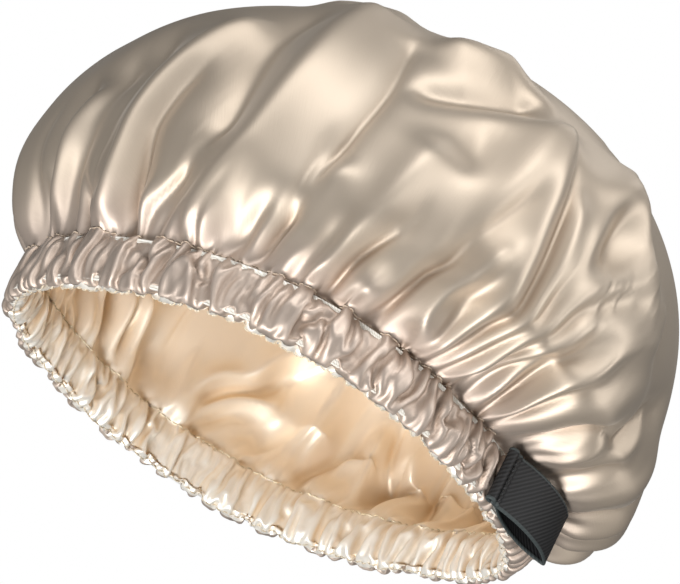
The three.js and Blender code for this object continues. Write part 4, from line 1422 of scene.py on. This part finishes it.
@dataclass
class OuterSatin(SatinLayer):
    """Crown and outer wall of the casing in one piece of cloth, turned in under the rim. Sizes are in mm.

    Attributes:
        limit: Height at which the tallest folds level off.
        most: Most height over the wall.
        fold_room: How far the crown may settle below and above its laid folds.
        seam_room: How much further in the cloth may lie from the seam up.
        sink: How far the crown hangs inside the wall.
        top_sink: The same at its top.
        full_back: How much fuller its back is, by turn in degrees.
        full_front: How much fuller its front is, by turn in degrees.
        casing: How far the casing bulges, by height over the rim.
        casing_gap: How far it stands off all over.
        seam_pinch: How far the seam draws in, by height over the seam.
        seam_swell: How far the cloth swells over the seam.
        puff_fade: Distance over which the casing's bulge dies away over the seam.
        slimness: Share of the bulges that is missing at the front, by turn in degrees.
        casing_folds: Share of the crown's folds that runs on into the casing.
    """

    gathers: tuple[Gathers, ...] = (
        Gathers(5, pitch=7.4, depth=5.2, groove=1.6, sway=2.8, reach_above=(5.0, 24.0)),
        Gathers(8, pitch=5.4, depth=1.3, groove=1.0, sway=1.2, reach_above=(0.5, 5.0)),
    )
    fold_strength: float = 1.5
    limit: float = 8.0
    most: float = 6.0
    fold_room: tuple[float, float] = (2.2, 2.4)
    seam_room: float = 2.6
    sink: float = 2.6
    top_sink: float = 4.2
    full_back: Bulge = Bulge(4.4, 4, 36)
    full_front: Bulge = Bulge(2.6, 178, 26)
    casing: Bulge = Bulge(2.9, 9.5, 6.5)
    casing_gap: float = 0.5
    seam_pinch: Bulge = Bulge(1.7, 0, 3)
    seam_swell: Bulge = Bulge(1.8, 9, 6)
    puff_fade: float = 10.0
    slimness: Bulge = Bulge(0.7, 182, 38)
    casing_folds: float = 0.5

    def rim_rows(self) -> list[tuple[float, float]]:
        """Return the turned-in hem, from its cut edge to the outside of the rim."""
        return [
            (3.3, 2.3), (3.5, 1.9), (3.6, 1.4), (3.5, 0.9), (3.1, 0.45),
            (2.4, 0.2), (1.6, 0.25), (1.0, 0.6), (0.55, 1.1),
        ]

    def casing_rows(self) -> list[tuple[float, float]]:
        """Return the casing's outer wall."""
        heights = np.linspace(1.8, SHAPE.seam_height, 21)[:-1]
        return [(0.4 * float(np.exp(-(h - 1.2))), float(h)) for h in heights]

    def sunk(self) -> np.ndarray:
        """Work out how far the cloth hangs inside the wall, least at the full back and front.

        Returns:
            Depths in mm, one per row and column.
        """
        above = self.up_wall() - SHAPE.seam_height
        turn = (np.degrees(self.turns) + 180) % 360 - 180
        top = smooth_step(self.level, start=2.3, over=0.6)[:, None]
        side = self.sink - self.full_back.at(turn)
        side -= self.full_front.at(np.abs(turn))
        return smooth_step(above, over=26)[:, None] * (side[None, :] * (1 - top) + self.top_sink * top)

    def puffed(self, up: np.ndarray) -> np.ndarray:
        """Work out the bulge of the casing, the pinch of the seam and the swell over it.

        Args:
            up: Each row's distance up the wall.

        Returns:
            Heights out of the wall, one per row.
        """
        above = up - SHAPE.seam_height
        puff = self.casing.at(up) + self.casing_gap
        puff = puff - self.seam_pinch.at(above)
        over = puff * np.exp(-above / self.puff_fade) + self.seam_swell.at(above)
        return np.where(above > 0, over, puff)[:, None]

    def shape_cloth(self, ribbon: bpy.types.Object) -> None:
        """Lay the cloth in its folds and let it settle.

        Args:
            ribbon: The CAD ribbon, which the cloth keeps clear of.
        """
        self.set_rows()
        base, way = self.wall()
        up = self.up_wall()
        rim = len(self.rim_rows())
        large = hidden_side_folds(self.seed) + CROWN_FOLDS
        grooves = self.grooves(up, large)
        folds = self.fold_strength * raise_folds(base, large + fine_folds(large, self.seed))
        above = up - SHAPE.seam_height
        kept = self.casing_folds
        under = kept * smooth_step(up, start=12, over=7)
        keep = np.where(above < 0, under, kept + (1 - kept) * smooth_step(above, over=5))
        share = self.rim_shares(0.35, 1)[:, None]
        slim = 1 - self.slimness.at(np.degrees(self.turns))
        puff = self.puffed(up) * share * slim
        heights = puff - self.sunk() + grooves * share + folds * keep[:, None]
        least = self.least - self.seam_room * smooth_step(up, start=16.5, over=2.5)
        low = np.repeat(least[:, None], len(self.turns), axis=1)
        high = np.full(heights.shape, self.most)
        crown = self.low_rows + 1
        room = smooth_step(above[crown:], over=9)[:, None]
        low[crown:] = (heights[crown:] - self.fold_room[0]) * room + least[crown:, None] * (1 - room)
        high[crown:] = (heights[crown:] + self.fold_room[1]) * room + self.most * (1 - room)
        high = np.minimum(high, self.room_to(ribbon, base, way))
        low = np.minimum(low, high - 0.2)
        heights = np.where(heights > 0, self.limit * np.tanh(heights / self.limit), heights)
        heights = np.clip(heights, low, high)
        points = base + way * heights[..., None]
        lift = -grooves[rim] * self.rim_lift
        points[:rim, :, 2] += lift * np.sin(np.linspace(0.25, 1, rim) * np.pi / 2)[:, None]
        points[rim : rim + 3, :, 2] += lift * np.array([0.8, 0.5, 0.2])[:, None]
        self.grid = ClothGrid(base, way, points, low, high)
        self.settle(large, pinned=[0, len(up) - 1], levelled=[self.low_rows])

    def room_to(self, ribbon: bpy.types.Object, base: np.ndarray, way: np.ndarray) -> np.ndarray:
        """Measure how far out the cloth may come before it meets the ribbon.

        Args:
            ribbon: The CAD ribbon.
            base: Points of the wall.
            way: Way out at each.

        Returns:
            Heights out of the wall, one per row and column.
        """
        search, clearance, unlimited = 12, 0.45, 99.0
        tree = BVHTree.FromObject(ribbon, bpy.context.evaluated_depsgraph_get())
        room = np.full(base.shape[:2], unlimited)
        corners = np.array([v.co for v in ribbon.data.vertices]) / MM
        low, high = corners.min(0) - search - 2, corners.max(0) + search + 2
        near = np.all((base > low) & (base < high), axis=-1)
        for row, column in zip(*np.nonzero(near)):
            start = Vector(base[row, column] * MM)
            place, _, _, _ = tree.find_nearest(start, search * MM)
            if place is None:
                continue
            toward = (np.array(place) / MM - base[row, column]) @ way[row, column]
            distance = (place - start).length / MM
            if toward > 0.4 * distance:
                room[row, column] = distance - clearance
        return np.maximum(lowest_near(room, 1), self.least + 0.2)


@dataclass
class LiningSatin(SatinLayer):
    """Inner bag of the bonnet and the inner wall of the casing in one piece of cloth. Sizes are in mm.

    Attributes:
        wave_height: Height of the slow waves between the folds.
        waves: Most of them round the rim.
        casing_most: Most height of the casing into the bonnet.
        casing_puff: How far the casing bulges into the bonnet.
        crown_puff: How far the crown hangs inside the outer layer, at the seam and further up.
        cloth_gap: Least distance from the outer layer.
        fold_room: How far the crown may settle above its laid folds, and above its least distance.
        seam_gap: Distance between the two layers along the seam.
        held_by: Row of the outer layer's hem that the cut edge is sewn to.
        edge_drop: How far the cut edge lies below that row.
    """

    gathers: tuple[Gathers, ...] = (
        Gathers(21, pitch=7.4, depth=4.0, groove=1.6, sway=2.4, reach_above=(4.0, 18.0), seam_share=0.8),
        Gathers(24, pitch=4.6, depth=1.2, groove=0.9, sway=0.9, reach_above=(1.0, 7.0)),
    )
    groove_limit: float = 5.0
    fold_strength: float = 2.0
    wave_height: float = 1.2
    waves: int = 14
    casing_most: float = 4.2
    casing_puff: float = 2.0
    crown_puff: tuple[float, float] = (0.6, 7.4)
    cloth_gap: float = 0.8
    fold_room: tuple[float, float] = (2.4, 1.5)
    seam_gap: float = 0.6
    held_by: int = 4
    edge_drop: float = 0.15
    quick_rounds: int = 12
    spare: Spare = Spare(0.3, 0.03, 0.22, 6.0, 90.0)

    def rim_rows(self) -> list[tuple[float, float]]:
        """Return the edge that the rim's seam holds."""
        return [(3.1, 0.3), (3.6, 0.35), (4.0, 0.75), (4.25, 1.3), (4.35, 1.9)]

    def casing_rows(self) -> list[tuple[float, float]]:
        """Lay the casing's inner wall, which leaves room for the elastic.

        Returns:
            Inset and height of each row.
        """
        heights = np.linspace(2.6, 18.2, 19)
        insets = 4.8 - 1.5 * smooth_step(heights, start=12, over=7) - 0.4 * np.exp(2.6 - heights)
        return list(zip(insets.tolist(), heights.tolist()))

    def room_for_lap(self) -> np.ndarray:
        """Work out how far the casing gives way to the elastic's lapped ends.

        Returns:
            Distances in mm, one per row under the crown and column.
        """
        middle, half_width, most = 0.275, 0.022, 2.6
        # A row at this inset is clear of the ends as it is
        clear_inset = 0.9 + 4.7
        lap = np.exp(-(((self.turns / FULL_TURN - middle) / half_width) ** 6))
        return np.minimum(lap * most, clear_inset - self.inset[: self.low_rows, None])

    def shape_cloth(self, outer: OuterSatin) -> None:
        """Lay the cloth in its folds inside the outer layer and let it settle.

        Args:
            outer: The outer layer, settled.
        """
        self.set_rows()
        base, way = self.wall()
        inward = -way
        up = self.up_wall()
        above = up - SHAPE.seam_height
        large = hidden_side_folds(self.seed, left_out=(46, 150), sign=-1) + LINING_FOLDS
        grooves = self.grooves(up, large)
        folds = self.fold_strength * raise_folds(base, large + fine_folds(large, self.seed))
        folds += self.wave_height * soft_noise(up, self.turns, self.waves, np.random.default_rng(self.seed))
        crown = self.low_rows
        shape = outer.grid
        over = ((shape.points - shape.base) * shape.out).sum(-1)[outer.low_rows :]
        touch = self.cloth_gap - lowest_near(over, 3)
        keep = np.where(above < 0, 0, smooth_step(above, over=12))
        casing = self.casing_puff * (1 - 0.9 * smooth_step(up, start=12, over=6))
        at_seam, further_up = self.crown_puff
        puff = np.where(above < 0, casing, at_seam + further_up * smooth_step(above, over=26))
        rim = len(self.rim_rows())
        share = self.rim_shares(0, 0.85)[:, None]
        heights = puff[:, None] * share + grooves * share + folds * keep[:, None]
        low = np.full(heights.shape, self.least)
        high = np.full(heights.shape, self.casing_most)
        low[:crown] += self.room_for_lap()
        low[crown:] = touch
        high[crown:] = np.maximum(heights[crown:] + self.fold_room[0], touch + self.fold_room[1])
        heights = np.clip(heights, low, high)
        points = base + inward * heights[..., None]
        points[crown] = outer.grid.points[outer.low_rows] + inward[crown] * self.seam_gap
        points[:rim, :, 2] += -grooves[rim] * self.rim_lift * np.linspace(0.6, 1, rim)[:, None]
        points[0] = outer.grid.points[self.held_by] - np.array([0, 0, self.edge_drop])
        self.grid = ClothGrid(base, inward, points, low, high)
        self.settle(large, pinned=[0, crown, len(up) - 1], levelled=[])


@dataclass
class ElasticBand:
    """Woven elastic in the casing, with one end lapped over the other and a zigzag across them. In mm."""

    bottom: float = 2.4
    top: float = 17.9
    inset: float = 1.1
    thickness: float = 1.0
    lap_step: float = 1.35
    join_start: float = 0.262
    lap_share: float = 0.026
    step_share: float = 0.012
    cords: int = 14
    stations: int = 420
    rib: float = 0.09
    join_inset: float = 4.05

    def strip(self) -> bpy.types.Object:
        """Make the ribbed strip, whose second end steps over its first.

        Returns:
            The piece.
        """
        shares = np.linspace(self.join_start, self.join_start + 1 + self.lap_share, self.stations)
        turn = shares * FULL_TURN
        stepped = smooth_step(shares - self.join_start - 1 + self.step_share, over=self.step_share)
        inset = self.inset + self.lap_step * stepped
        heights = np.linspace(self.bottom, self.top, self.cords * 4 + 1)
        rib = self.rib * np.cos((heights - self.bottom) / (self.top - self.bottom) * self.cords * FULL_TURN)
        wall = SHAPE.point(turn, 0.0)
        way = SHAPE.outward(turn, 0.0)
        sections = []
        for face, sign in ((0.0, -1.0), (self.thickness, 1.0)):
            rows = [
                wall - way * (inset + face + sign * (float(r) - self.rib))[:, None] + np.array([0, 0, h])
                for h, r in zip(heights, rib)
            ]
            sections.append(np.stack(rows, 1))
        loop = np.concatenate([sections[0], sections[1][:, ::-1]], axis=1)
        return lay_tubes("elastic_band_piece", loop[None])

    def zigzag(self) -> bpy.types.Object:
        """Make the thread that joins the lapped ends.

        Returns:
            The piece.
        """
        turn = (self.join_start + self.lap_share / 2) * FULL_TURN
        way = SHAPE.outward(turn, 0.0)
        aside = np.array([-way[1], way[0], 0.0])
        foot = SHAPE.point(turn, 0.0) - way * self.join_inset
        corners, margin, swing, radius = 8, 1.9, 1.5, 0.25
        angles = ring_angles(8)
        rings = []
        for corner in range(corners + 1):
            z = self.bottom + margin + (self.top - self.bottom - 2 * margin) * corner / corners
            centre = foot + aside * swing * (1 if corner % 2 else -1) + np.array([0, 0, z])
            rings.append([centre + radius * (math.cos(a) * way + 1.5 * math.sin(a) * aside) for a in angles])
        return lay_tubes("elastic_join_thread_piece", np.array([rings]))

    def build(self) -> None:
        """Make both pieces."""
        strip, zigzag = self.strip(), self.zigzag()
        hand_over(strip, WOVEN_ELASTIC.build(), "elastic_band", "bonnet")
        hand_over(zigzag, ELASTIC_THREAD.build(), "elastic_join_thread", "bonnet")


@dataclass
class SeamThreads:
    """Stitch rows of the seam above the elastic, outside and inside, and of the seam along the rim."""

    outer: OuterSatin
    lining: LiningSatin
    stitch: float = 2.6
    radius: float = 0.2
    proud: float = 0.02

    def build(self) -> None:
        """Make the three rows of stitches, each on a row of cloth at a share of the way to the next."""
        outer, lining = self.outer, self.lining
        for node, slot, finish, layer, row, share, sign in (
            ("seam_needle_thread", "champagne_thread", NEEDLE_THREAD, outer, outer.low_rows - 1, 0.45, 1),
            ("seam_bobbin_thread", "ivory_thread", BOBBIN_THREAD, lining, lining.low_rows - 1, 0.35, -1),
            ("rim_seam_thread", "champagne_thread", RIM_THREAD, lining, 1, 0.3, -1),
        ):
            line, way = layer.line_at(row, share, sign * self.proud)
            piece = stitches(f"{node}_piece", line, way * sign, self.stitch, self.radius)
            hand_over(piece, finish.build(), node, "bonnet")


@dataclass
class RibbonLoop:
    """Black tape folded double, its two ends rolled in and sewn down at the root. Sizes are in mm."""

    width: float = 18.0
    half_thickness: float = 0.32
    length: float = 35.0
    front_bow: float = 3.5
    back_bow: float = 3.3
    droop: float = 0.7
    root: np.ndarray = field(init=False)
    heading: float = field(init=False)
    foot: float = field(init=False)

    def take_place(self, ribbon: bpy.types.Object) -> None:
        """Read the loop's root, heading and foot from the frame.

        Args:
            ribbon: The CAD ribbon.
        """
        joint = frame["joints"][0]
        corners = np.array([v.co for v in ribbon.data.vertices]) / MM
        self.root = np.array(joint["pos_m"][:2]) / MM
        away = np.linalg.norm(corners[:, :2] - self.root, axis=1)
        tip = corners[away > away.max() - 0.5].mean(0)[:2] - self.root
        self.heading = math.atan2(tip[1], tip[0])
        self.foot = corners[away < 3, 2].min()

    def path(self) -> np.ndarray:
        """Lay the tape's middle seen from above, from its end behind the ridge round to the ridge's back.

        Returns:
            Points along the loop and towards the bonnet, from its root.
        """
        bow = [(0.0, 0.0), (0.12, 0.4), (0.28, 0.8), (0.46, 1.0), (0.64, 0.98), (0.8, 0.74), (0.93, 0.32)]
        tip = self.length - 0.8
        plies = [
            [(4 + (tip - 4) * share, side * (0.4 + bulge * rise)) for share, rise in bow]
            for side, bulge in ((1, self.back_bow), (-1, self.front_bow))
        ]
        turn = [(tip + 0.1, 0.45), (tip + 0.42, 0.0), (tip + 0.1, -0.45)]
        ridge = [(3.0, -0.95), (1.9, -0.42), (0.9, -1.0), (0.0, -1.28), (-0.95, -0.8), (-1.25, 0.1)]
        roll = [(-0.8, 0.95), (0.2, 1.2), (1.4, 0.95)]
        knots = np.array([(1.2, 0.35), *plies[0], *turn, *reversed(plies[1]), *ridge, *roll])
        return spline(knots, [max(3, int(np.linalg.norm(c - b) / 0.6)) for b, c in zip(knots, knots[1:])])

    def to_frame(self, points: np.ndarray) -> np.ndarray:
        """Bring points of the loop into the frame.

        Args:
            points: Points along the loop, towards the bonnet and up from its foot.

        Returns:
            The same points in the frame's millimetres.
        """
        cos, sin = math.cos(self.heading), math.sin(self.heading)
        x, y, z = points[..., 0], points[..., 1], points[..., 2]
        sunk = z + self.foot - self.droop * np.clip(x, 0, self.length) / self.length
        return np.stack([self.root[0] + x * cos - y * sin, self.root[1] + x * sin + y * cos, sunk], -1)

    def tape(self) -> bpy.types.Object:
        """Make the folded tape, thicker at its selvedges.

        Returns:
            The piece.
        """
        line = self.path()
        ahead = np.gradient(line, axis=0)
        ahead /= np.linalg.norm(ahead, axis=1, keepdims=True)
        side = np.stack([-ahead[:, 1], ahead[:, 0]], -1)
        selvedge = np.array([0, 0.12, 0.5, 0.95, 1.15])
        middle = np.linspace(1.6, self.width - 1.6, 16)
        across = np.concatenate([selvedge, middle, self.width - selvedge[::-1]])
        edge = np.minimum(across, self.width - across)
        rounding = np.sqrt(np.clip(edge / 0.25, 0, 1) * 0.84 + 0.16)
        thick = self.half_thickness * np.where(edge < 1.0, 1.3, 1.0) * rounding
        travelled = np.concatenate([[0], np.cumsum(np.linalg.norm(np.diff(line, axis=0), axis=1))])
        sections, flat = [], []
        for at, way, run in zip(line, side, travelled):
            faces = []
            for sign, order in ((1, slice(None)), (-1, slice(None, None, -1))):
                plan = at[None] + sign * way[None] * thick[order, None]
                faces.append(np.concatenate([plan, across[order, None]], axis=1))
                flat += [(run, w) for w in across[order]]
            sections.append(np.concatenate(faces))
        piece = lay_tubes("ribbon_loop_piece", self.to_frame(np.array([sections])))
        lay_flat_uv(piece, np.array(flat))
        return piece

    def tack(self) -> bpy.types.Object:
        """Make the stitches that hold both ends, down the groove beside the ridge.

        Returns:
            The piece.
        """
        margin, pitch, radius, bulge = 1.2, 2.1, 0.3, 0.4
        groove_x, groove_y, slant = 1.95, -0.85, 0.35
        angles = ring_angles(8)
        stitch_rings = []
        for stitch in range(int((self.width - 2 * margin) / pitch)):
            rings = []
            for share in (0.0, 0.25, 0.6, 0.95):
                x, y = groove_x + slant * (share - 0.5), groove_y - bulge * math.sin(math.pi * share)
                z = margin + stitch * pitch + share * pitch
                rings.append([(x + radius * math.cos(a), y + radius * math.sin(a), z) for a in angles])
            stitch_rings.append(rings)
        return lay_tubes("ribbon_tack_thread_piece", self.to_frame(np.array(stitch_rings)))

    def build(self) -> None:
        """Make both pieces."""
        self.take_place(frame["nodes"]["ribbon_loop"])
        tape, tack = self.tape(), self.tack()
        hand_over(tape, TWILL_TAPE.build(), "ribbon_loop", "loop")
        hand_over(tack, TACK_THREAD.build(), "ribbon_tack_thread", "loop")


@dataclass(frozen=True)
class Lamp:
    """Round soft box that looks at the bonnet. Places are in metres."""

    name: str
    place: tuple[float, float, float]
    size: float
    watts: float

    def build(self, target: Vector) -> None:
        """Hang the lamp.

        Args:
            target: What it looks at.
        """
        data = bpy.data.lights.new(self.name, "AREA")
        data.shape = "DISK"
        data.size = self.size
        data.energy = self.watts
        lamp = bpy.data.objects.new(self.name, data)
        lamp.location = self.place
        lamp.rotation_euler = (target - Vector(self.place)).to_track_quat("-Z", "Y").to_euler()
        bpy.context.scene.collection.objects.link(lamp)


@dataclass(frozen=True)
class Studio:
    """White backdrop, a pale floor under the rim, soft boxes and the camera of the photograph. In metres.

    The ambient light is the backdrop's strength as the bonnet sees it, where 1 is white.
    """

    target: tuple[float, float, float] = (-0.00259, 0.00014, 0.0573)
    distance: float = 0.8925
    look_up_deg: float = 23.8
    roll_deg: float = 28.5
    lens_mm: float = 150.0
    sensor_mm: float = 36.0
    ambient: float = 0.09
    floor_drop: float = 0.0005
    floor_reach: float = 1.5
    lamps: tuple[Lamp, ...] = (
        Lamp("key light", (-0.2, -0.85, 0.95), 0.6, 6.6),
        Lamp("front light", (0.25, -0.9, 1.0), 0.6, 3.5),
        Lamp("fill from the right", (1.0, -0.6, 0.45), 0.6, 5.2),
        Lamp("low lamp into the opening", (-0.15, -0.55, -0.7), 0.45, 11.0),
        Lamp("top light", (0.3, 0.3, 1.3), 0.7, 2.2),
    )

    def camera(self) -> None:
        """Set the camera that looks up into the opening."""
        tilt, roll = math.radians(self.look_up_deg), math.radians(self.roll_deg)
        ahead = Vector((0, math.cos(tilt), math.sin(tilt)))
        up = Vector((0, -math.sin(tilt), math.cos(tilt)))
        right = Vector((1, 0, 0))
        x_way = math.cos(roll) * right + math.sin(roll) * up
        y_way = -math.sin(roll) * right + math.cos(roll) * up
        data = bpy.data.cameras.new("photo camera")
        data.lens = self.lens_mm
        data.sensor_width = self.sensor_mm
        data.clip_end = 20
        made = bpy.data.objects.new("photo camera", data)
        place = Vector(self.target) - self.distance * ahead
        turned = Matrix((x_way, y_way, -ahead)).transposed().to_4x4()
        made.matrix_world = Matrix.Translation(place) @ turned
        bpy.context.scene.collection.objects.link(made)
        bpy.context.scene.camera = made

    def world(self) -> None:
        """Set a white backdrop that lights the bonnet less than it shows."""
        world = bpy.data.worlds.new("white backdrop")
        bpy.context.scene.world = world
        world.use_nodes = True
        tree = world.node_tree
        tree.nodes.clear()
        path = add_node(tree, "ShaderNodeLightPath")
        white = linear("ffffff")
        shown = add_node(tree, "ShaderNodeBackground", {"Color": white, "Strength": 1.0})
        lit = add_node(tree, "ShaderNodeBackground", {"Color": white, "Strength": self.ambient})
        rays = {0: path.outputs["Is Camera Ray"], 1: lit.outputs[0], 2: shown.outputs[0]}
        mixed = add_node(tree, "ShaderNodeMixShader", links=rays)
        add_node(tree, "ShaderNodeOutputWorld", links={"Surface": mixed.outputs[0]})

    def floor(self) -> None:
        """Lay a pale floor that is clear from below, where the camera stands, and throws no light up."""
        reach = self.floor_reach / MM
        corners = np.array([(-reach, -reach, 0), (reach, -reach, 0), (reach, reach, 0), (-reach, reach, 0)])
        floor = mesh_object("floor", corners, [(0, 1, 2, 3)], smooth=False)
        floor.location.z = -self.floor_drop
        material, tree = new_material("matt white paper")
        geometry = add_node(tree, "ShaderNodeNewGeometry")
        path = add_node(tree, "ShaderNodeLightPath")
        paper = add_node(tree, "ShaderNodeBsdfDiffuse", {"Color": linear("f4f3f1")})
        clear = add_node(tree, "ShaderNodeBsdfTransparent")
        rays = {0: path.outputs["Is Camera Ray"], 1: geometry.outputs["Backfacing"]}
        shown = add_node(tree, "ShaderNodeMath", {"operation": "SUBTRACT", "use_clamp": True}, rays)
        surfaces = {0: shown.outputs[0], 1: clear.outputs[0], 2: paper.outputs[0]}
        mixed = add_node(tree, "ShaderNodeMixShader", links=surfaces)
        add_node(tree, "ShaderNodeOutputMaterial", links={"Surface": mixed.outputs[0]})
        floor.data.materials.append(material)

    def build(self) -> None:
        """Set up the whole studio."""
        self.world()
        self.floor()
        for lamp in self.lamps:
            lamp.build(Vector(self.target))
        self.camera()
        bpy.context.scene.view_settings.view_transform = "Standard"


def plain(box: list) -> list:
    """Return a box as plain lists of numbers."""
    return [[float(value) for value in corner] for corner in box]


def main() -> None:
    """Dress the frame: both satin layers, the elastic, the threads and the ribbon, then the studio."""
    logging.basicConfig(level=logging.INFO, format="%(name)s %(message)s")
    outer = OuterSatin("outer_satin", "champagne_satin", CHAMPAGNE_SATIN)
    outer.shape_cloth(frame["nodes"]["ribbon_loop"])
    lining = LiningSatin("lining_satin", "ivory_satin", IVORY_SATIN, seed=31)
    lining.shape_cloth(outer)
    ElasticBand().build()
    outer.make_mesh(inside=False)
    lining.make_mesh(inside=True)
    SeamThreads(outer, lining).build()
    RibbonLoop().build()
    Studio().build()


if __name__ == "__main__":
    main()
